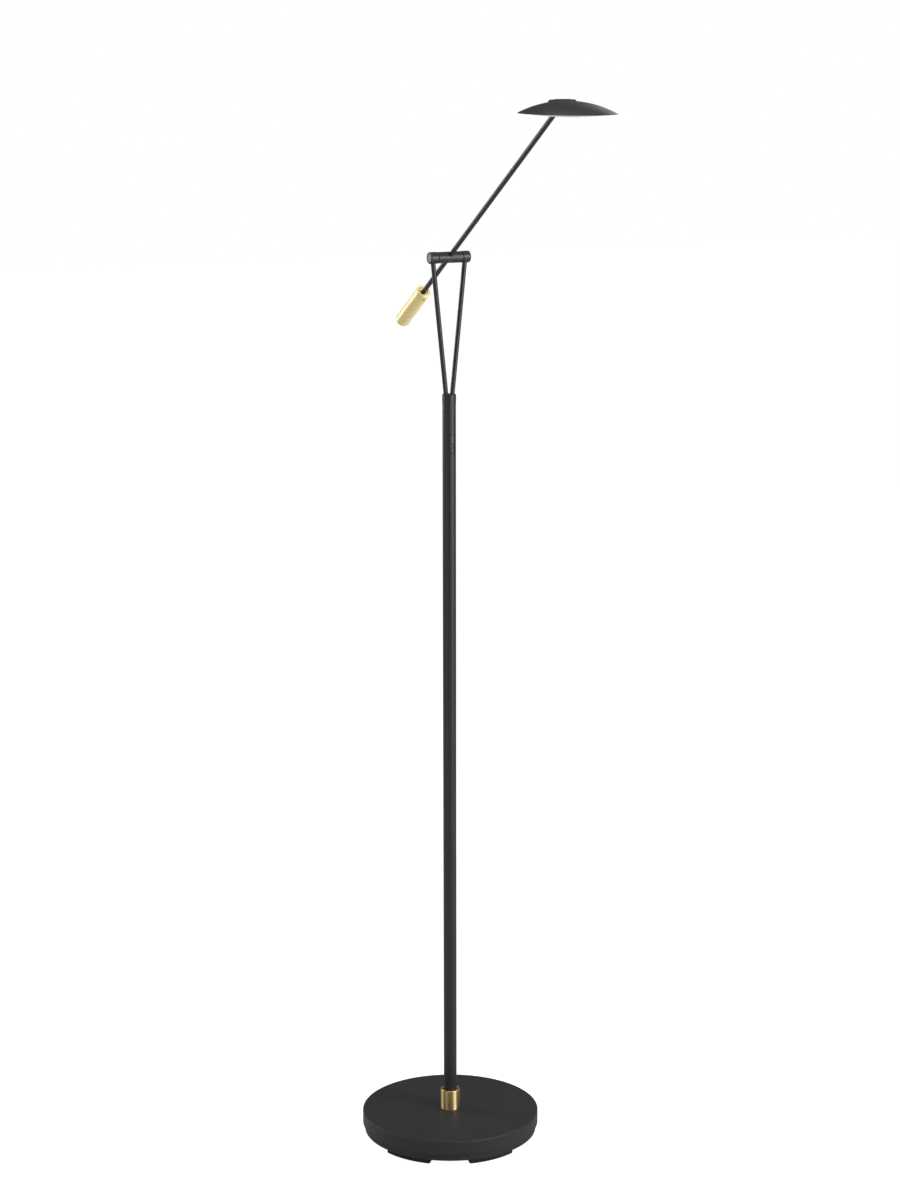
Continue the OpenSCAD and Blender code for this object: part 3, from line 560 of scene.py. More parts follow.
satinBrassSet = {
    "dark": colour(0.87, 0.74, 0.40), "light": colour(0.94, 0.80, 0.44), "worn": colour(0.96, 0.86, 0.56),
    "tarnished": colour(0.72, 0.58, 0.29), "tarnish": 0.12, "rough": 0.58, "vary": 0.03, "turned": 0.5,
    "lines": 7000.0, "length": 25.0, "marks": 40.0, "wear": 0.3, "depth": 0.0000015,
}
brightBrassSet = {
    "dark": colour(0.72, 0.53, 0.25), "light": colour(0.80, 0.60, 0.29), "worn": colour(0.88, 0.74, 0.44),
    "tarnished": colour(0.56, 0.38, 0.16), "tarnish": 0.12, "rough": 0.40, "vary": 0.03, "turned": 0.95,
    "lines": 6000.0, "length": 20.0, "marks": 60.0, "wear": 0.3, "depth": 0.0000012,
}


def makeMetal(name, settings):
    # plain plated or rolled metal for the fittings inside
    material, tree, shader, vector = startFinish(name, metal=1.0)
    grain = useEffect(tree, "coatGrain", vector, Grain=settings["grain"], Mottle=120.0)
    marks = useEffect(tree, "smudge", vector, Size=180.0)
    wear = useEffect(tree, "edgeWear", vector, Amount=0.6)
    tone = mixColours(tree, grain["Mottling"], settings["dark"], settings["light"])
    tree.links.new(mixColours(tree, wear["Mask"], tone, settings["worn"]), shader.inputs["Base Color"])
    rough = spread(tree, marks["Marks"], settings["rough"], settings["rough"] + 0.16, 0.0, 1.0)
    tree.links.new(rough, shader.inputs["Roughness"])
    tree.links.new(bump(tree, grain["Height"], settings["depth"]), shader.inputs["Normal"])
    return material


zincSet = {"dark": colour(0.50, 0.52, 0.55), "light": colour(0.66, 0.68, 0.70),
           "worn": colour(0.78, 0.79, 0.80), "rough": 0.28, "grain": 1800.0, "depth": 0.00001}
rolledSteelSet = {"dark": colour(0.34, 0.34, 0.35), "light": colour(0.47, 0.47, 0.48),
                  "worn": colour(0.6, 0.6, 0.6), "rough": 0.30, "grain": 2400.0, "depth": 0.00001}
aluminiumSet = {"dark": colour(0.62, 0.63, 0.64), "light": colour(0.74, 0.75, 0.76),
                "worn": colour(0.85, 0.85, 0.86), "rough": 0.34, "grain": 1500.0, "depth": 0.000015}


def makeMoulded(name, settings):
    # moulded plastic, rubber or a printed board: faint grain, tone and gloss that vary
    material, tree, shader, vector = startFinish(
        name, specular=settings["specular"], sheen=settings.get("sheen", 0.0), coat=settings.get("coat", 0.0),
        coatRough=0.3)
    grain = useEffect(tree, "coatGrain", vector, Grain=settings["grain"], Mottle=70.0)
    wear = useEffect(tree, "edgeWear", vector, Amount=0.4)
    tone = mixColours(tree, grain["Mottling"], settings["dark"], settings["light"])
    tree.links.new(mixColours(tree, wear["Mask"], tone, settings["worn"]), shader.inputs["Base Color"])
    rough = spread(tree, grain["Mottling"], settings["rough"] - 0.06, settings["rough"] + 0.06)
    tree.links.new(rough, shader.inputs["Roughness"])
    tree.links.new(bump(tree, grain["Height"], settings["depth"]), shader.inputs["Normal"])
    return material


plasticSet = {"dark": colour(0.014, 0.014, 0.015), "light": colour(0.022, 0.022, 0.023),
              "worn": colour(0.06, 0.06, 0.06), "specular": 0.5, "rough": 0.42, "grain": 3200.0,
              "depth": 0.00003}
rockerSet = dict(plasticSet, rough=0.36, specular=0.55)
rubberSet = {"dark": colour(0.011, 0.011, 0.011), "light": colour(0.020, 0.020, 0.020),
             "worn": colour(0.045, 0.044, 0.043), "specular": 0.3, "rough": 0.78, "grain": 1400.0,
             "depth": 0.00008, "sheen": 0.1}
sheathSet = {"dark": colour(0.16, 0.035, 0.02), "light": colour(0.24, 0.055, 0.03),
             "worn": colour(0.30, 0.10, 0.06), "specular": 0.5, "rough": 0.4, "grain": 1600.0,
             "depth": 0.00002}
boardSet = {"dark": colour(0.74, 0.75, 0.73), "light": colour(0.82, 0.83, 0.81),
            "worn": colour(0.62, 0.58, 0.42), "specular": 0.5, "rough": 0.35, "grain": 900.0,
            "depth": 0.00001, "coat": 0.3}
phosphorSet = {"dark": colour(0.78, 0.60, 0.10), "light": colour(0.86, 0.70, 0.16),
               "worn": colour(0.9, 0.9, 0.85), "specular": 0.5, "rough": 0.3, "grain": 3000.0,
               "depth": 0.00001}


def makeOpal(settings):
    # opal diffuser: light sinks in a little, a fine frosted skin
    material, tree, shader, vector = startFinish(
        "opalDiffuser", specular=0.45, inner=settings["inner"], innerDepth=settings["innerDepth"])
    grain = useEffect(tree, "coatGrain", vector, Grain=3400.0, Mottle=30.0)
    dust = useEffect(tree, "dust", vector, Film=0.05, Specks=0.0)
    tone = mixColours(tree, grain["Mottling"], settings["dark"], settings["light"])
    tree.links.new(mixColours(tree, dust["Mask"], tone, settings["dustColour"]), shader.inputs["Base Color"])
    tree.links.new(spread(tree, grain["Mottling"], 0.38, 0.50), shader.inputs["Roughness"])
    tree.links.new(bump(tree, grain["Height"], 0.00003), shader.inputs["Normal"])
    shader.inputs["Subsurface Radius"].default_value = (1.0, 0.95, 0.85)
    return material


opalSet = {"dark": colour(0.80, 0.80, 0.79), "light": colour(0.86, 0.86, 0.85),
           "dustColour": colour(0.62, 0.60, 0.57), "inner": 0.35, "innerDepth": 0.003}

finishes = {
    "blackCoat": makeCoat("blackCoat", blackCoatSet),
    "shadeCoat": makeCoat("shadeCoat", shadeCoatSet),
    "baseCoat": makeCoat("baseCoat", baseCoatSet),
    "castIron": makeCoat("castIron", ironSet),
    "satinBrass": makeTurnedMetal("satinBrass", armPlace @ alongY, satinBrassSet),
    "brightBrass": makeTurnedMetal("brightBrass", standPlace, brightBrassSet),
    "screwSteel": makeMetal("screwSteel", rolledSteelSet),
    "zincPlate": makeMetal("zincPlate", zincSet),
    "aluminium": makeMetal("aluminium", aluminiumSet),
    "blackPlastic": makeMoulded("blackPlastic", plasticSet),
    "rockerPlastic": makeMoulded("rockerPlastic", rockerSet),
    "footRubber": makeMoulded("footRubber", rubberSet),
    "leadSheath": makeMoulded("leadSheath", sheathSet),
    "whiteBoard": makeMoulded("whiteBoard", boardSet),
    "phosphor": makeMoulded("phosphor", phosphorSet),
    "opal": makeOpal(opalSet),
}
print("finishes made:", len(finishes))

# ---- node trees for what repeats


def paintCopies(tree, copies, given, result):
    solid = addNode(tree, "GeometryNodeRealizeInstances", {0: copies.outputs[0]})
    painted = addNode(tree, "GeometryNodeSetMaterial", {"Geometry": solid.outputs[0],
                                                        "Material": given["Finish"]})
    tree.links.new(painted.outputs[0], result["Geometry"])
    return tree


def makeRingTree():
    # copies of a template spread over a span about Z; those near the middle of the back can be left out
    tree, given, result = newGroup(
        "ringOfCopies",
        {"Geometry": ("NodeSocketGeometry", None), "Template": ("NodeSocketObject", None),
         "Count": ("NodeSocketInt", 5), "Turn": (floatKind, 0.0), "Span": (floatKind, 2 * math.pi),
         "Reach": (floatKind, 0.0), "Gap": (floatKind, -1.0), "Finish": ("NodeSocketMaterial", None)},
        {"Geometry": "NodeSocketGeometry"}, "GeometryNodeTree")
    points = addNode(tree, "GeometryNodePoints", {"Count": given["Count"]})
    index = addNode(tree, "GeometryNodeInputIndex").outputs[0]
    step = calc(tree, "DIVIDE", given["Span"], given["Count"])
    turn = calc(tree, "ADD", calc(tree, "MULTIPLY", index, step), given["Turn"])
    across = calc(tree, "MULTIPLY", calc(tree, "COSINE", turn), given["Reach"])
    behind = calc(tree, "GREATER_THAN", calc(tree, "SINE", turn), 0.0)
    near = calc(tree, "LESS_THAN", calc(tree, "ABSOLUTE", across), given["Gap"])
    inGap = calc(tree, "MULTIPLY", near, behind)
    keep = calc(tree, "SUBTRACT", 1.0, inGap)
    template = addNode(tree, "GeometryNodeObjectInfo", {"Object": given["Template"]})
    euler = addNode(tree, "ShaderNodeCombineXYZ", {2: turn})
    copies = addNode(tree, "GeometryNodeInstanceOnPoints", {
        "Points": points.outputs[0], "Selection": keep, "Instance": template.outputs["Geometry"],
        "Rotation": euler.outputs[0]})
    return paintCopies(tree, copies, given, result)


def makeSeatTree():
    # one copy of a template on every point, turned to the point's facing and sized by its size
    tree, given, result = newGroup(
        "copiesOnSeats",
        {"Geometry": ("NodeSocketGeometry", None), "Template": ("NodeSocketObject", None),
         "Finish": ("NodeSocketMaterial", None)},
        {"Geometry": "NodeSocketGeometry"}, "GeometryNodeTree")
    facing = addNode(tree, "GeometryNodeInputNamedAttribute", {"Name": "facing"}, data_type="FLOAT_VECTOR")
    size = addNode(tree, "GeometryNodeInputNamedAttribute", {"Name": "size"}, data_type="FLOAT_VECTOR")
    turned = addNode(tree, "FunctionNodeAlignRotationToVector", {"Vector": facing.outputs[0]}, axis="Z")
    template = addNode(tree, "GeometryNodeObjectInfo", {"Object": given["Template"]})
    copies = addNode(tree, "GeometryNodeInstanceOnPoints", {
        "Points": given["Geometry"], "Instance": template.outputs["Geometry"], "Rotation": turned.outputs[0],
        "Scale": size.outputs[0]})
    return paintCopies(tree, copies, given, result)


def makeRowTree():
    # a row of copies along Z
    tree, given, result = newGroup(
        "rowOfCopies",
        {"Geometry": ("NodeSocketGeometry", None), "Template": ("NodeSocketObject", None),
         "Count": ("NodeSocketInt", 3), "Start": (floatKind, 0.0), "Step": (floatKind, 1.0),
         "Finish": ("NodeSocketMaterial", None)},
        {"Geometry": "NodeSocketGeometry"}, "GeometryNodeTree")
    index = addNode(tree, "GeometryNodeInputIndex").outputs[0]
    height = calc(tree, "MULTIPLY_ADD", index, given["Step"], given["Start"])
    place = addNode(tree, "ShaderNodeCombineXYZ", {2: height})
    points = addNode(tree, "GeometryNodePoints", {"Count": given["Count"], "Position": place.outputs[0]})
    template = addNode(tree, "GeometryNodeObjectInfo", {"Object": given["Template"]})
    copies = addNode(tree, "GeometryNodeInstanceOnPoints", {
        "Points": points.outputs[0], "Instance": template.outputs["Geometry"]})
    return paintCopies(tree, copies, given, result)


trees = {"ring": makeRingTree(), "seats": makeSeatTree(), "row": makeRowTree()}


def growPiece(name, treeName, values, base=None):
    # runs a tree on an object and keeps the plain mesh
    obj = base or link(name, bpy.data.meshes.new(name))
    modifier = obj.modifiers.new("grow", "NODES")
    modifier.node_group = trees[treeName]
    sockets = {item.name: item.identifier for item in trees[treeName].interface.items_tree
               if item.in_out == "INPUT"}
    for key, value in values.items():
        modifier[sockets[key]] = value
    settle(obj)
    if "Template" in values:
        bpy.data.objects.remove(values["Template"])
    return obj


print("node trees made:", len(trees))

# ---- stand

footSet = {
    "count": 5,
    "backGap": math.radians(37),  # extra opening between the two feet behind
    "topEdge": 0.6,
    "soleEdge": 1.2,
    "arcSteps": 32,
    "endRun": 2.0,  # length over which an end rounds off
    "endSteps": 5,
    "endWidth": 0.84,  # what is left of the width and height at the very end
    "endHeight": 0.9,
    "ribCount": 5,  # grip ribs on the sole
    "ribFoot": 0.9,
    "ribTop": 0.55,
    "ribDepth": 0.6,
}


def footTurns(half, reach):
    # turns of the sections, closer together where the ends round off
    made = footSet
    ends = [made["endRun"] / reach * (1 - math.cos(math.pi / 2 * k / made["endSteps"]))
            for k in range(made["endSteps"] + 1)]
    span = half - ends[-1]
    middle = [span * (2 * k / made["arcSteps"] - 1) for k in range(1, made["arcSteps"])]
    return [e - half for e in ends] + middle + [half - e for e in reversed(ends)]


def makeFeet():
    # arc pads with ribbed soles, their ends rounded off
    made = footSet
    low, high = localBox("base_feet", standPlace)
    points = [vertex.co * 1000 for vertex in frame["nodes"]["base_feet"].data.vertices]
    outer = max(reachOf(point) for point in points)
    inner = min(reachOf(point) for point in points)
    share = math.pi / made["count"]
    turns = [math.atan2(point.y, point.x) + math.pi / 2 for point in points]
    front = [turn for turn in turns if abs(turn) < share]
    middleTurn = (min(front) + max(front)) / 2 - math.pi / 2
    half = (max(front) - min(front)) / 2
    span = 2 * math.pi - made["backGap"]
    firstTurn = middleTurn - span / made["count"] * (made["count"] - 1) / 2
    pitch = (outer - inner) / (made["ribCount"] + 1)
    lifted = low.z + made["ribDepth"]
    corners = [(inner, low.z, made["soleEdge"])]
    for i in range(1, made["ribCount"] + 1):
        across = inner + pitch * i
        corners += [(across - made["ribFoot"], low.z, 0), (across - made["ribTop"], lifted, 0),
                    (across + made["ribTop"], lifted, 0), (across + made["ribFoot"], low.z, 0)]
    corners += [(outer, low.z, made["soleEdge"]), (outer, high.z, made["topEdge"]),
                (inner, high.z, made["topEdge"])]
    outline = roundCorners(corners, 3)
    middle = (inner + outer) / 2
    sections = []
    for turn in footTurns(half, inner):
        run = (half - abs(turn)) * inner / made["endRun"]
        fade = math.sqrt(1 - (1 - min(run, 1)) ** 2)
        wide = made["endWidth"] + (1 - made["endWidth"]) * fade
        tall = made["endHeight"] + (1 - made["endHeight"]) * fade
        ring = []
        for radius, height in outline:
            reach = middle + (radius - middle) * wide
            ring.append((reach * math.cos(turn), reach * math.sin(turn), high.z - (high.z - height) * tall))
        sections.append(ring)
    template = loft("footTemplate", sections)
    feet = growPiece("rubberFeet", "ring", {
        "Template": template, "Count": made["count"], "Turn": firstTurn, "Span": span,
        "Finish": finishes["footRubber"]})
    return finishPiece(feet, "stand", "footRubber", ["base_feet"], sharp=50)


shellSet = {"edge": 1.8, "wall": 1.5, "hem": 0.35, "boreEdge": 0.25, "innerEdge": 0.3}


def makeShell():
    low, high = localBox("base_shell", standPlace)
    outer = high.x
    bore = min(reachOf(vertex.co) for vertex in frame["nodes"]["base_shell"].data.vertices) * 1000
    wall = shellSet["wall"]
    outline = roundCorners([
        (bore, high.z, shellSet["boreEdge"]), (bore, high.z - wall, shellSet["boreEdge"]),
        (outer - wall, high.z - wall, shellSet["innerEdge"]), (outer - wall, low.z, shellSet["hem"]),
        (outer, low.z, shellSet["hem"]), (outer, high.z, shellSet["edge"])], 6)
    shell = lathe("baseShell", outline, 192)
    return finishPiece(shell, "stand", "baseCoat", ["base_shell"])


collarSet = {"edge": 0.45, "footEdge": 0.3, "ring": 1.1, "ringDepth": 3.0, "mouthEdge": 0.25,
             "boreEdge": 0.1, "seatEdge": 0.2, "screwBore": 2.05}


def makeCollar():
    low, high = localBox("pole_collar", standPlace)
    poleRadius = localBox("pole_tube", standPlace)[1].x
    outer = high.x
    bore = poleRadius + fitGap
    mouth = poleRadius + collarSet["ring"]
    outline = roundCorners([
        (bore, low.z, collarSet["boreEdge"]), (outer, low.z, collarSet["footEdge"]),
        (outer, high.z, collarSet["edge"]), (mouth, high.z, collarSet["mouthEdge"]),
        (mouth, high.z - collarSet["ringDepth"], collarSet["seatEdge"]),
        (bore, high.z - collarSet["ringDepth"], collarSet["boreEdge"])], 5)
    collar = lathe("poleCollar", outline, 128)
    screwPlace = Matrix.Translation((0, 0, middleOf("collar_screw", standPlace).z)) @ alongY
    cutter = rod("cutter", collarSet["screwBore"], 0, outer + past, screwPlace)
    cutAway(collar, cutter)
    return finishPiece(collar, "stand", "brightBrass", ["pole_collar"])


poleSet = {"wall": 1.5, "edge": 0.2, "rowGap": 4.0, "windowRadius": 0.6, "screwBore": 1.55}


def makePole():
    low, high = localBox("pole_tube", standPlace)
    bezelLow, bezelHigh = localBox("switch_bezel", standPlace)
    radius, wall, edge = high.x, poleSet["wall"], poleSet["edge"]
    apart = poleSet["rowGap"]
    screwZ = middleOf("stop_screw", standPlace).z
    rows = [bezelLow.z - apart, bezelHigh.z + apart, screwZ - apart, screwZ + apart]
    corners = [(radius - wall, low.z, edge), (radius, low.z, edge)]
    corners += [(radius, z, 0) for z in rows]
    corners += [(radius, high.z, edge), (radius - wall, high.z, edge)]
    corners += [(radius - wall, z, 0) for z in reversed(rows)]
    pole = lathe("poleTube", roundCorners(corners, 4), 96)
    window = slab("window", rectangle(bezelLow.x - fitGap, bezelHigh.x + fitGap, bezelLow.z - fitGap,
                                      bezelHigh.z + fitGap, poleSet["windowRadius"]), 0, radius + past)
    window.data.transform(Matrix.Rotation(math.pi / 2, 4, "X"))
    screwPlace = Matrix.Translation((0, 0, screwZ)) @ alongY
    hole = rod("hole", poleSet["screwBore"], 0, radius + past, screwPlace)
    cutAway(pole, window, hole)
    return finishPiece(pole, "stand", "blackCoat", ["pole_tube"])


bezelSet = {"wall": 1.0, "holeRadius": 0.7, "rockerGap": 0.4, "edge": 0.12}


def makeBezel():
    low, high = localBox("switch_bezel", switchPlace)
    rockerLow, rockerHigh = localBox("rocker_button", switchPlace)
    radius = -low.y
    far = radius + past
    wall, gap = bezelSet["wall"], bezelSet["rockerGap"]
    body = rod("switchBezel", radius, low.z, high.z, steps=192)
    keepOut = []
    for side in (-1, 1):
        left, right = sorted((side * high.x, side * far))
        keepOut.append(slab("side", rectangle(left, right, -far, far), low.z - past, high.z + past))
    keepOut.append(slab("back", rectangle(-far, far, high.y, far), low.z - past, high.z + past))
    opening = slab("opening", rectangle(low.x + wall, high.x - wall, rockerLow.z - gap, rockerHigh.z + gap,
                                        bezelSet["holeRadius"]), 0, far)
    opening.data.transform(Matrix.Rotation(math.pi / 2, 4, "X"))
    cutAway(body, opening, *keepOut)
    soften(body, bezelSet["edge"])
    return finishPiece(body, "stand", "blackPlastic", ["switch_bezel"], switchPlace, 30)


rockerShapeSet = {
    "face": 8.3,  # radius of the face about the pole's axis
    "notch": 0.55,  # depth of the groove across the middle
    "notchWidth": 1.0,
    "ringRadius": 2.0,
    "ringWidth": 0.42,
    "ringDepth": 0.28,
    "ringHeight": -5.0,
    "dimple": 0.22,
    "dimpleRadius": 0.9,
    "edge": 0.35,
    "ribCount": 2,
    "ribStep": 1.9,
    "ribEnd": 1.2,
    "ribInset": 0.3,
    "ribRadius": 8.65,
    "ribThick": 0.8,
    "ribRoot": 0.5,
    "ribEdge": 0.22,
    "ribSteps": 24,
    "ribEndSteps": 3,
    "ribEndTall": 0.6,
    "columns": 56,
    "rows": 168,
}


def makeRocker():
    # the rocker's face follows the pole; a groove, a round mark and a dimple are pressed into it
    low, high = localBox("rocker_button", switchPlace)
    made = rockerShapeSet
    build = bmesh.new()
    grid = []
    for j in range(made["rows"] + 1):
        z = low.z + (high.z - low.z) * j / made["rows"]
        row = []
        for i in range(made["columns"] + 1):
            x = low.x + (high.x - low.x) * i / made["columns"]
            depth = 0.0
            edge = min(x - low.x, high.x - x, z - low.z, high.z - z)
            if edge < made["edge"]:
                fall = made["edge"] ** 2 - (made["edge"] - edge) ** 2
                depth += made["edge"] - math.sqrt(max(0.0, fall))
            groove = abs(z) / (made["notchWidth"] / 2)
            if groove < 1:
                depth += made["notch"] * math.sqrt(1 - groove ** 2)
            reach = math.hypot(x, z - made["ringHeight"])
            near = abs(reach - made["ringRadius"]) / (made["ringWidth"] / 2)
            if near < 1:
                depth += made["ringDepth"] * (1 - near ** 2)
            if reach < made["dimpleRadius"]:
                depth += made["dimple"] * (1 - (reach / made["dimpleRadius"]) ** 2)
            radius = made["face"] - depth
            row.append(build.verts.new((x, -math.sqrt(radius ** 2 - x ** 2), z)))
        grid.append(row)
    back = [[build.verts.new((v.co.x, high.y, v.co.z)) for v in row] for row in (grid[0], grid[-1])]
    for j in range(made["rows"]):
        for i in range(made["columns"]):
            build.faces.new([grid[j][i], grid[j][i + 1], grid[j + 1][i + 1], grid[j + 1][i]])
    for edgeRow, backRow in ((grid[0], back[0]), (grid[-1], back[1])):
        for i in range(made["columns"]):
            build.faces.new([edgeRow[i], edgeRow[i + 1], backRow[i + 1], backRow[i]])
    for i, side in ((0, 0), (made["columns"], -1)):
        build.faces.new([row[i] for row in grid] + [back[1][side], back[0][side]])
    build.faces.new(back[0] + list(reversed(back[1])))
    rocker = keepBuild("dimmerRocker", build)
    finishPiece(rocker, "rocker", "rockerPlastic", ["rocker_button"], switchPlace, 40)
    for side, name in ((-1, "rockerRibsLow"), (1, "rockerRibsHigh")):
        makeRibs(name, side * (high.z - made["ribEnd"]), -side * made["ribStep"], high.x - made["ribInset"])


def makeRibs(name, start, step, half):
    # grip ribs that follow the face
    made = rockerShapeSet
    reach = math.asin(half / made["face"])
    root, thick, edge = made["face"] - made["ribRoot"], made["ribThick"] / 2, made["ribEdge"]
    profile = roundCorners([
        (root, -thick, 0), (made["ribRadius"], -thick, edge), (made["ribRadius"], thick, edge),
        (root, thick, 0)], 4)
    steps = made["ribSteps"]
    sections = []
    for k in range(steps + 1):
        turn = -math.pi / 2 + reach * (2 * k / steps - 1)
        end = min(1, min(k, steps - k) / made["ribEndSteps"])
        lift = math.sqrt(1 - (1 - end) ** 2)
        tall = made["ribEndTall"] + (1 - made["ribEndTall"]) * lift
        ring = []
        for radius, height in profile:
            away = root + (radius - root) * tall
            ring.append((away * math.cos(turn), away * math.sin(turn), height * tall))
        sections.append(ring)
    template = loft("ribTemplate", sections)
    ribs = growPiece(name, "row", {"Template": template, "Count": made["ribCount"], "Start": start,
                                   "Step": step, "Finish": finishes["rockerPlastic"]})
    return finishPiece(ribs, "rocker", "rockerPlastic", [], switchPlace, 50)


makeFeet()
makeShell()
makeCollar()
makePole()
makeBezel()
makeRocker()
print("stand made")

# ---- fork

capSet = {"edge": 0.8, "footEdge": 0.2, "spigot": 4.95, "spigotEdge": 0.4, "bore": 2.4, "mouthEdge": 0.3,
          "boreRise": 2, "seatReach": 40}


def makeCap():
    low, high = localBox("fork_cap", standPlace)
    radius = high.x
    bottom = localBox("pole_bush", standPlace)[1].z + fitGap
    spigot, bore = capSet["spigot"], capSet["bore"]
    roof = bottom + capSet["boreRise"]
    outline = roundCorners([
        (0, high.z, 0), (radius, high.z, capSet["edge"]), (radius, bottom, capSet["footEdge"]),
        (spigot, bottom, 0), (spigot, low.z, capSet["spigotEdge"]), (bore, low.z, capSet["mouthEdge"]),
        (bore, roof, 0), (0, roof, 0)], 6)
    cap = lathe("forkCap", outline, 96)
    seats = []
    for node in ("fork_rod_left", "fork_rod_right"):
        seats.append(rod("seat", rodRadius(node) + fitGap, 0, capSet["seatReach"], rodPlace(*tubeEnds(node))))
    cutAway(cap, *seats)
    return finishPiece(cap, "fork", "blackCoat", ["fork_cap"])


def rodRadius(node):
    low, high = localBox(node, standPlace)
    return (high.y - low.y) / 2


def rodPlace(start, end):
    # millimetres along the rod's own axis, from its lower end
    turn = (end - start).to_track_quat("Z", "Y").to_matrix().to_4x4()
    return Matrix.Translation(start * 1000) @ turn


def tube(name, radius, wall, low, high, rows=(), edge=0.15, steps=64):
    corners = [(radius - wall, low, 0), (radius, low, edge)] + [(radius, z, 0) for z in rows]
    corners += [(radius, high, edge), (radius - wall, high, 0)]
    return lathe(name, roundCorners(corners, 3), steps)


rodSet = {"wall": 1.0}


def makeRods():
    for side in ("left", "right"):
        node = "fork_rod_" + side
        start, end = tubeEnds(node)
        piece = tube("forkRod." + side, rodRadius(node), rodSet["wall"], 0, (end - start).length * 1000)
        place = toMetres @ rodPlace(start, end) @ toMetres.inverted()
        finishPiece(piece, "fork", "blackCoat", [node], place)


hubSet = {"outerEdge": 1.3, "innerEdge": 0.35, "bushBore": 5.1, "boreEdge": 0.1, "chamberDepth": 3,
          "seatStart": 100, "capEdge": 0.35, "capDish": 0.25, "dishEdge": 0.3,
          "dishRim": 1.1, "dishFoot": 1.4}


def makeHubCollars():
    for side, turn in (("left", mirrorX), ("right", standPlace)):
        low, high = localBox("hub_collar_right", hubPlace)
        capLow, capHigh = localBox("hub_cap_right", hubPlace)
        radius = high.z
        chamber, floor = capHigh.z + fitGap, capLow.x - hubSet["chamberDepth"]
        boreEdge = hubSet["boreEdge"]
        outline = roundCorners([
            (hubSet["bushBore"], low.x, boreEdge), (radius, low.x, hubSet["innerEdge"]),
            (radius, high.x, hubSet["outerEdge"]), (chamber, high.x, boreEdge), (chamber, floor, 0),
            (hubSet["bushBore"], floor, 0)], 6)
        collar = lathe("hubCollar." + side, outline, 96)
        start, end = tubeEnds("fork_rod_right")
        hub = Matrix.Translation(-hubPoint * 1000)
        seat = rod("seat", rodRadius("fork_rod_right") + fitGap, hubSet["seatStart"],
                   (end - start).length * 1000, alongX.inverted() @ hub @ rodPlace(start, end))
        cutAway(collar, seat)
        finishPiece(collar, "fork", "blackCoat", ["hub_collar_" + side],
                    hubPlace @ turn @ alongX)
        dish, dishEdge = capHigh.x - hubSet["capDish"], hubSet["dishEdge"]
        capOutline = roundCorners([
            (0, capLow.x, 0), (capHigh.z, capLow.x, boreEdge), (capHigh.z, capHigh.x, hubSet["capEdge"]),
            (capHigh.z - hubSet["dishRim"], capHigh.x, dishEdge),
            (capHigh.z - hubSet["dishFoot"], dish, dishEdge), (0, dish, 0)], 5)
        cap = lathe("hubCap." + side, capOutline, 96)
        finishPiece(cap, "fork", "blackCoat", ["hub_cap_" + side], hubPlace @ turn @ alongX)


makeCap()
makeRods()
makeHubCollars()
print("fork made")

# ---- arm

armRadius = localBox("arm_tube", armPlace)[1].x
barrelSet = {"edge": 0.45, "screwBore": 2.05, "trunnion": 4.0, "trunnionEdge": 0.2}


def makeBarrel():
    high = localBox("hub_barrel", armPlace)[1]
    radius = high.z
    end = localBox("hub_bush_right", hubPlace)[0].x - fitGap
    trunnion, trunnionEdge = barrelSet["trunnion"], barrelSet["trunnionEdge"]
    corners = [(0, -high.x, 0), (trunnion, -high.x, trunnionEdge), (trunnion, -end, 0)]
    corners += [(radius, -end, barrelSet["edge"]), (radius, end, barrelSet["edge"])]
    corners += [(trunnion, end, 0), (trunnion, high.x, trunnionEdge), (0, high.x, 0)]
    barrel = lathe("hubBarrel", roundCorners(corners, 5), 128)
    barrel.data.transform(alongX)
    bore = rod("bore", armRadius + fitGap, -radius * 2, radius * 2, alongY)
    screw = rod("screw", barrelSet["screwBore"], -radius * 2, 0)
    cutAway(barrel, bore, screw)
    return finishPiece(barrel, "arm", "blackCoat", ["hub_barrel"], armPlace)


armSet = {"wall": 1.0, "edge": 0.2}


def makeArm():
    low, high = localBox("arm_tube", armPlace)
    arm = tube("armTube", high.x, armSet["wall"], low.y, high.y, edge=armSet["edge"])
    return finishPiece(arm, "arm", "blackCoat", ["arm_tube"], armPlace @ alongY)


counterweightSet = {"edge": 0.9, "mouthEdge": 0.35, "recessRadius": 5.5, "recessDepth": 3.5,
                    "floorEdge": 0.3, "boreEdge": 0.2, "screwBore": 2.05, "boreSpare": 0.5}


def makeCounterweight():
    low, high = localBox("counterweight", armPlace)
    radius = high.x
    bore = armRadius + fitGap
    armEnd = localBox("arm_tube", armPlace)[1].y + counterweightSet["boreSpare"]
    recess = counterweightSet["recessRadius"]
    floor = low.y + counterweightSet["recessDepth"]
    outline = roundCorners([
        (0, high.y, 0), (radius, high.y, counterweightSet["edge"]), (radius, low.y, counterweightSet["edge"]),
        (recess, low.y, counterweightSet["mouthEdge"]),
        (recess, floor, counterweightSet["floorEdge"]), (bore, floor, counterweightSet["boreEdge"]),
        (bore, armEnd, 0), (0, armEnd, 0)], 6)
    weight = lathe("counterweight", outline, 128)
    screwY = middleOf("counterweight_screw", armPlace).y
    cutter = rod("screw", counterweightSet["screwBore"], 0, radius + past,
                 alongY.inverted() @ Matrix.Translation((0, screwY, 0)) @ Matrix.Rotation(math.pi, 4, "X"))
    cutAway(weight, cutter)
    return finishPiece(weight, "arm", "satinBrass", ["counterweight"], armPlace @ alongY)


knuckleSet = {"edge": 0.5, "boreStart": -2.5, "boreEnd": 20}


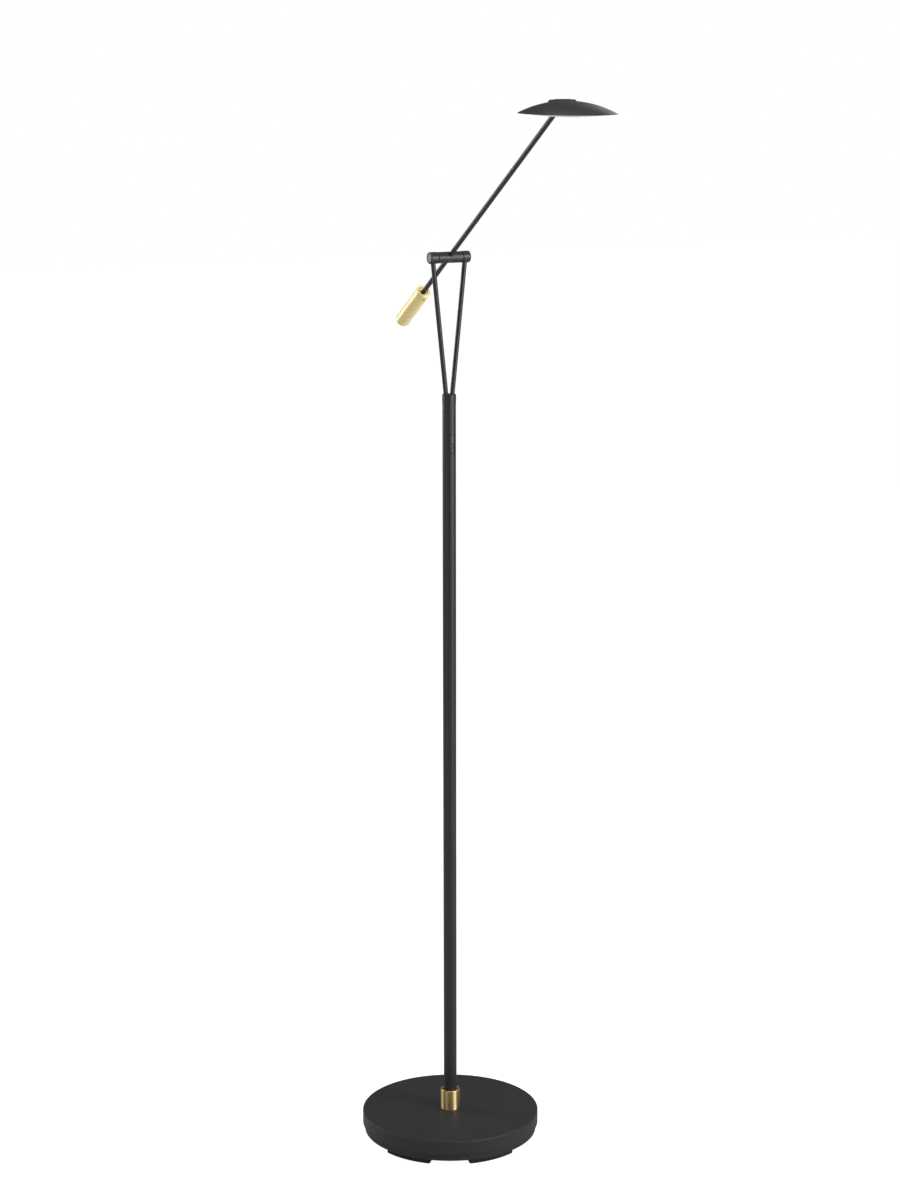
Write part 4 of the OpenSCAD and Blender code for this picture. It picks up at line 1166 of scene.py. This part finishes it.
def makeKnuckle():
    low, high = localBox("head_knuckle", armPlace)
    radius, edge = high.z, knuckleSet["edge"]
    middle = (low.y + high.y) / 2
    knuckle = lathe("headKnuckle", roundCorners([
        (0, low.x, 0), (radius, low.x, edge), (radius, high.x, edge), (0, high.x, 0)], 5), 96)
    knuckle.data.transform(alongX)
    bore = rod("bore", armRadius + fitGap, knuckleSet["boreStart"], knuckleSet["boreEnd"], alongY)
    cutAway(knuckle, bore)
    return finishPiece(knuckle, "arm", "blackCoat", ["head_knuckle"],
                       armPlace @ Matrix.Translation((0, middle / 1000, 0)))


makeBarrel()
makeArm()
makeCounterweight()
makeKnuckle()
print("arm made")

# ---- head

shadeLow, shadeHigh = localBox("shade", headPlace)
shadeCentre = Vector((0, (shadeLow.y + shadeHigh.y) / 2, 0))
shadePlace = headPlace @ Matrix.Translation(shadeCentre / 1000)
shadeSet = {
    "wall": 1.0,
    "steps": 192,
    "rows": 36,
    "rimTurn": 0.12,  # degrees that the rim's round takes from each face
    "rimInner": 0.12,
    "rimOuter": 0.1,
    "slotRadius": 1.2,
    "slotSide": 0.4,
    "slotEnd": 0.5,
    "slotLift": 3,
    "slotTop": 10,
}


def makeShade():
    made = shadeSet
    reach = (shadeHigh.x - shadeLow.x) / 2
    rim = shadeLow.z
    sphere, middle = domeOf("shade", reach, rim, shadeCentre)
    top = middle + sphere
    inner = sphere - made["wall"]
    outerTurn = math.degrees(math.acos(reach / sphere))
    innerReach = math.sqrt(inner ** 2 - (rim - middle) ** 2)
    innerTurn = math.degrees(math.acos(innerReach / inner))
    outline = arc(0, middle, sphere, outerTurn + made["rimTurn"], 90, made["rows"])
    outline += arc(0, middle, inner, 90, innerTurn + made["rimTurn"], made["rows"])
    outline[made["rows"]].x = 0
    outline[made["rows"] + 1].x = 0
    outline += [Vector((innerReach + made["rimInner"], rim)), Vector((reach - made["rimOuter"], rim))]
    shade = lathe("shade", outline, made["steps"])
    blockHigh = localBox("pivot_block_right", headPlace)[1]
    knuckleHigh = localBox("head_knuckle", armPlace)[1].z
    half = blockHigh.x + made["slotSide"]
    deep = knuckleHigh + made["slotEnd"]
    outline = rectangle(-half, half, -deep - shadeCentre.y, deep - shadeCentre.y, made["slotRadius"])
    cutAway(shade, slab("slot", outline, rim + made["slotLift"], top + made["slotTop"]))
    return finishPiece(shade, "head", "shadeCoat", ["shade"], shadePlace, 30)


def domeOf(node, reach, rim, centre):
    # radius and centre height of a dome from its rim and its highest corner
    back = toMetres.inverted() @ headPlace.inverted()
    points = [back @ vertex.co - centre for vertex in frame["nodes"][node].data.vertices]
    peak = max(points, key=lambda point: point.z)
    tall = peak.z - rim
    depth = (reach ** 2 - peak.xy.length_squared - tall ** 2) / (2 * tall)
    return math.hypot(reach, depth), rim - depth


diffuserSet = {"wall": 1.4, "clipWall": 1.4, "clipEdge": 0.3, "rows": 24, "steps": 160, "slotGap": 1.2,
               "slotFront": -8.5, "slotBack": 31, "slotRadius": 2.0}


def makeDiffuser():
    low, high = localBox("diffuser", headPlace)
    made = diffuserSet
    rim, clipEdge = shadeLow.z, made["clipEdge"]
    reach = (high.x - low.x) / 2
    bulge = rim - low.z
    sphere = (reach ** 2 + bulge ** 2) / (2 * bulge)
    middle = low.z + sphere
    inner = sphere - made["wall"]
    edgeTurn = math.degrees(math.asin(reach / sphere))
    innerReach = reach - made["clipWall"]
    innerTurn = math.degrees(math.asin(innerReach / inner))
    outline = arc(0, middle, sphere, -90, -90 + edgeTurn, made["rows"])
    outline[0].x = 0
    outline += roundCorners([
        (reach, rim + 0.01, 0), (reach, high.z, clipEdge), (innerReach, high.z, clipEdge),
        (innerReach, rim, 0)], 3)
    outline += arc(0, middle, inner, -90 + innerTurn, -90, made["rows"])[1:]
    outline[-1].x = 0
    diffuser = lathe("diffuser", outline, made["steps"])
    half = armRadius + made["slotGap"]
    outline = rectangle(-half, half, made["slotFront"] - shadeCentre.y, made["slotBack"] - shadeCentre.y,
                        made["slotRadius"])
    cutAway(diffuser, slab("slot", outline, low.z - past, high.z + past))
    return finishPiece(diffuser, "head", "opal", ["diffuser"], shadePlace, 30)


blockSet = {"innerEdge": 0.35, "outerEdge": 3.4, "pinBore": 1.55, "footInset": 0.4, "backInset": 0.45,
            "lowTurn": -10}


def roundEnd(obj, along, width, segments):
    # rounds the edges of the end face at one height of an extrusion
    build = bmesh.new()
    build.from_mesh(obj.data)
    edges = [edge for edge in build.edges if all(abs(vertex.co.z - along) < 0.001 for vertex in edge.verts)]
    bmesh.ops.bevel(build, geom=edges, offset=width, segments=segments, profile=0.5, affect="EDGES",
                    clamp_overlap=True)
    build.to_mesh(obj.data)
    build.free()


def makeBlocks():
    # bearing blocks with a round back, their outer ends domed
    made = blockSet
    low, high = localBox("pivot_block_right", headPlace)
    radius = high.z - made["backInset"]
    half = radius - made["footInset"]
    outline = [Vector((-half, low.z)), Vector((half, low.z))]
    outline += arc(0, 0, radius, made["lowTurn"], 180 - made["lowTurn"], 40)
    # the outline's first axis is the place's Y, its second is Z, and the block runs along X
    turned = Matrix(((0, 0, 1, 0), (1, 0, 0, 0), (0, 1, 0, 0), (0, 0, 0, 1)))
    for side, turn in (("left", mirrorX), ("right", standPlace)):
        block = slab("pivotBlock." + side, outline, low.x, high.x)
        roundEnd(block, high.x, made["outerEdge"], 8)
        roundEnd(block, low.x, made["innerEdge"], 3)
        pin = rod("pin", made["pinBore"], low.x - past, high.x + past)
        cutAway(block, pin)
        block.data.transform(turned)
        finishPiece(block, "head", "blackCoat", ["pivot_block_" + side], headPlace @ turn)


ledSet = {"wide": 3.5, "deep": 2.8, "tall": 0.7, "corner": 0.25, "wellDepth": 0.25, "window": 1.05,
          "windowGap": 0.02, "domeEdge": 0.08, "domeReach": 0.6, "domeFall": 0.03, "steps": 24,
          "slotGap": 1.2, "rings": {"outer": (37.0, 24), "inner": (24.0, 14)}}  # reach and count


def makeLeds():
    # LED packages in two rings, each a white cup with a domed phosphor window
    boardLow = localBox("led_board", headPlace)[0]
    gap = armRadius + ledSet["slotGap"] + ledSet["wide"]
    for ringName, (reach, count) in ledSet["rings"].items():
        for part, finish, slotName in (("cups", "whiteBoard", "board_white"),
                                       ("windows", "phosphor", "led_yellow")):
            template = makeCup(reach, boardLow.z) if part == "cups" else makeWindow(reach, boardLow.z)
            ring = growPiece(f"led.{ringName}.{part}", "ring", {
                "Template": template, "Count": count, "Turn": math.pi / count, "Reach": reach, "Gap": gap,
                "Finish": finishes[finish]})
            finishPiece(ring, "head", finish, ["led_chips"] if part == "cups" else [],
                        shadePlace, 30)


def makeCup(reach, top):
    deep, wide, tall = ledSet["deep"], ledSet["wide"], ledSet["tall"]
    outline = rectangle(reach - deep / 2, reach + deep / 2, -wide / 2, wide / 2, ledSet["corner"])
    cup = slab("cup", outline, top - tall, top)
    well = rod("well", ledSet["window"], top - tall - past, top - tall + ledSet["wellDepth"],
               Matrix.Translation((reach, 0, 0)), ledSet["steps"])
    return cutAway(cup, well)


def makeWindow(reach, top):
    bottom = top - ledSet["tall"]
    radius, back = ledSet["window"] - ledSet["windowGap"], bottom + ledSet["wellDepth"]
    window = lathe("window", [
        (0, back), (radius, back), (radius, bottom + ledSet["domeEdge"]),
        (ledSet["domeReach"], bottom + ledSet["domeFall"]), (0, bottom)], ledSet["steps"])
    window.data.transform(Matrix.Translation((reach, 0, 0)))
    return window


makeShade()
makeDiffuser()
makeBlocks()
makeLeds()
print("head made")

# ---- screws

grubSet = {"socket": 0.55, "socketDepth": 0.45, "bevel": 0.14, "tip": 0.7, "tipHeight": 0.12}


def hexagon(across):
    turns = [math.radians(60 * k) for k in range(6)]
    return [(across * math.cos(t), across * math.sin(t)) for t in turns]


def makeGrub():
    # one unit in radius and length, its socket facing +Z at the top
    grub = lathe("grub", roundCorners([
        (0, 0, 0), (grubSet["tip"], 0, 0), (1, grubSet["tipHeight"], 0), (1, 1 - grubSet["bevel"] / 2, 0),
        (1 - grubSet["bevel"], 1, 0), (0, 1, 0)]), 48)
    socket = slab("socket", hexagon(grubSet["socket"]), 1 - grubSet["socketDepth"], 1 + past)
    return cutAway(grub, socket)


def makeScrews(name, body, finish, template, seats, replaced, place=standPlace):
    # seats are (point, facing, size) in millimetres, in the place's own axes
    mesh = bpy.data.meshes.new(name)
    mesh.from_pydata([seat[0] for seat in seats], [], [])
    for label, column in (("facing", 1), ("size", 2)):
        layer = mesh.attributes.new(label, "FLOAT_VECTOR", "POINT")
        for i, seat in enumerate(seats):
            layer.data[i].vector = seat[column]
    screws = growPiece(name, "seats", {"Template": template, "Finish": finishes[finish]}, link(name, mesh))
    return finishPiece(screws, body, finish, replaced, place)


def grubSeat(node, place, axis, sign):
    # tip, facing and size of a grub screw that lies along one axis of the place
    low, high = localBox(node, place)
    tip = (low + high) / 2
    tip[axis] = low[axis] if sign > 0 else high[axis]
    facing = [0.0, 0.0, 0.0]
    facing[axis] = sign
    other = 0 if axis else 2
    radius = (high[other] - low[other]) / 2
    return tip, facing, (radius, radius, high[axis] - low[axis])


makeScrews("standGrubs", "stand", "screwSteel", makeGrub(),
           [grubSeat("collar_screw", standPlace, 1, 1), grubSeat("stop_screw", standPlace, 1, 1)],
           ["collar_screw", "stop_screw"])
makeScrews("armGrubs", "arm", "screwSteel", makeGrub(),
           [grubSeat("hub_screw", armPlace, 2, -1), grubSeat("counterweight_screw", armPlace, 2, -1)],
           ["hub_screw", "counterweight_screw"], armPlace)
print("screws made")

# ---- finishes of the frame's own pieces

nodeFinishes = {
    "castIron": ["base_weight"],
    "zincPlate": ["bottom_cover", "bottom_screws", "base_washer", "base_nut", "shade_screws", "block_screws",
                  "pivot_washers"],
    "screwSteel": ["pole_insert", "rocker_pin", "spigot_clip", "hub_springs", "hub_clips", "pivot_pins"],
    "blackPlastic": ["led_driver", "pole_bush", "switch_body", "hub_bush_left", "hub_bush_right"],
    "footRubber": ["cable_grommet"],
    "leadSheath": ["pole_lead", "fork_lead", "arm_lead"],
    "aluminium": ["led_carrier"],
    "whiteBoard": ["led_board"],
}

for finish, nodes in nodeFinishes.items():
    for node in nodes:
        data = frame["nodes"][node].data
        data.materials.clear()
        data.materials.append(finishes[finish])
print("frame pieces finished")

# ---- studio

studioSet = {
    "floorSize": 14.0,
    "floorSeen": 0.95,  # what the paper gives off towards the camera
    "floorGlow": 0.264,  # what it gives off towards the lamp
    "floorPaint": colour(0.40, 0.40, 0.40),
    "backdrop": 1.0,
    "around": 0.165,
}


def makeFloor():
    size = studioSet["floorSize"]
    mesh = bpy.data.meshes.new("floor")
    corners = [(-size, -size, 0), (size, -size, 0), (size, size, 0), (-size, size, 0)]
    mesh.from_pydata(corners, [], [(0, 1, 2, 3)])
    floor = link("floor", mesh)
    material = bpy.data.materials.new("palePaper")
    material.use_nodes = True
    tree = material.node_tree
    tree.nodes.clear()
    output = addNode(tree, "ShaderNodeOutputMaterial")
    paint = addNode(tree, "ShaderNodeBsdfDiffuse", {0: studioSet["floorPaint"]})
    straight = addNode(tree, "ShaderNodeLightPath").outputs["Is Camera Ray"]
    strength = addNode(tree, "ShaderNodeMapRange", {
        "Value": straight, "To Min": studioSet["floorGlow"], "To Max": studioSet["floorSeen"]})
    glow = addNode(tree, "ShaderNodeEmission", {"Strength": strength.outputs[0]})
    both = addNode(tree, "ShaderNodeAddShader", {0: paint.outputs[0], 1: glow.outputs[0]})
    clear = addNode(tree, "ShaderNodeBsdfTransparent")
    sides = addNode(tree, "ShaderNodeMixShader", {
        0: addNode(tree, "ShaderNodeNewGeometry").outputs["Backfacing"], 1: both.outputs[0],
        2: clear.outputs[0]})
    tree.links.new(sides.outputs[0], output.inputs[0])
    mesh.materials.append(material)


def makeWorld():
    world = bpy.data.worlds.new("studio")
    scene.world = world
    world.use_nodes = True
    tree = world.node_tree
    tree.nodes.clear()
    output = addNode(tree, "ShaderNodeOutputWorld")
    white = colour(1, 1, 1)
    seen = addNode(tree, "ShaderNodeBackground", {"Color": white, "Strength": studioSet["backdrop"]})
    around = addNode(tree, "ShaderNodeBackground", {"Color": white, "Strength": studioSet["around"]})
    both = addNode(tree, "ShaderNodeMixShader", {
        0: addNode(tree, "ShaderNodeLightPath").outputs["Is Camera Ray"], 1: around.outputs[0],
        2: seen.outputs[0]})
    tree.links.new(both.outputs[0], output.inputs[0])


# soft boxes: degrees right of the camera, distance, height, width, tall, power in watts, aimed height
lightSet = {
    "keyBox": (41, 2.2, 1.25, 0.9, 0.8, 9.7, 1.25),
    "keyFillLow": (62, 2.2, 0.45, 0.9, 0.8, 6.9, 0.45),
    "keyFillMiddle": (62, 2.2, 1.25, 0.9, 0.8, 20.3, 1.25),
    "keyFillHigh": (62, 2.2, 2.1, 0.9, 0.8, 17.0, 1.0),
    "leftBox": (-112, 2.2, 1.25, 0.9, 0.8, 22.8, 1.25),
    "leftFillLow": (-45, 2.2, 0.45, 0.9, 0.8, 3.6, 0.45),
    "rimBox": (155, 2.2, 2.1, 0.9, 0.8, 4.2, 1.0),
    "topBox": (-20, 0.3, 3.3, 2.0, 2.0, 29.9, 0.6),
}


def makeLights():
    for name, (turn, distance, height, width, tall, power, aim) in lightSet.items():
        angle = math.radians(cameraSet["turn"] + turn)
        data = bpy.data.lights.new(name, "AREA")
        data.shape = "RECTANGLE"
        data.size = width
        data.size_y = tall
        data.energy = power
        light = bpy.data.objects.new(name, data)
        place = Vector((distance * math.sin(angle), -distance * math.cos(angle), height))
        light.location = place
        light.rotation_mode = "QUATERNION"
        light.rotation_quaternion = (place - Vector((0, 0, aim))).to_track_quat("Z", "Y")
        light.visible_camera = False
        scene.collection.objects.link(light)


makeFloor()
makeWorld()
makeLights()
scene.view_settings.view_transform = "Standard"
print("studio made")
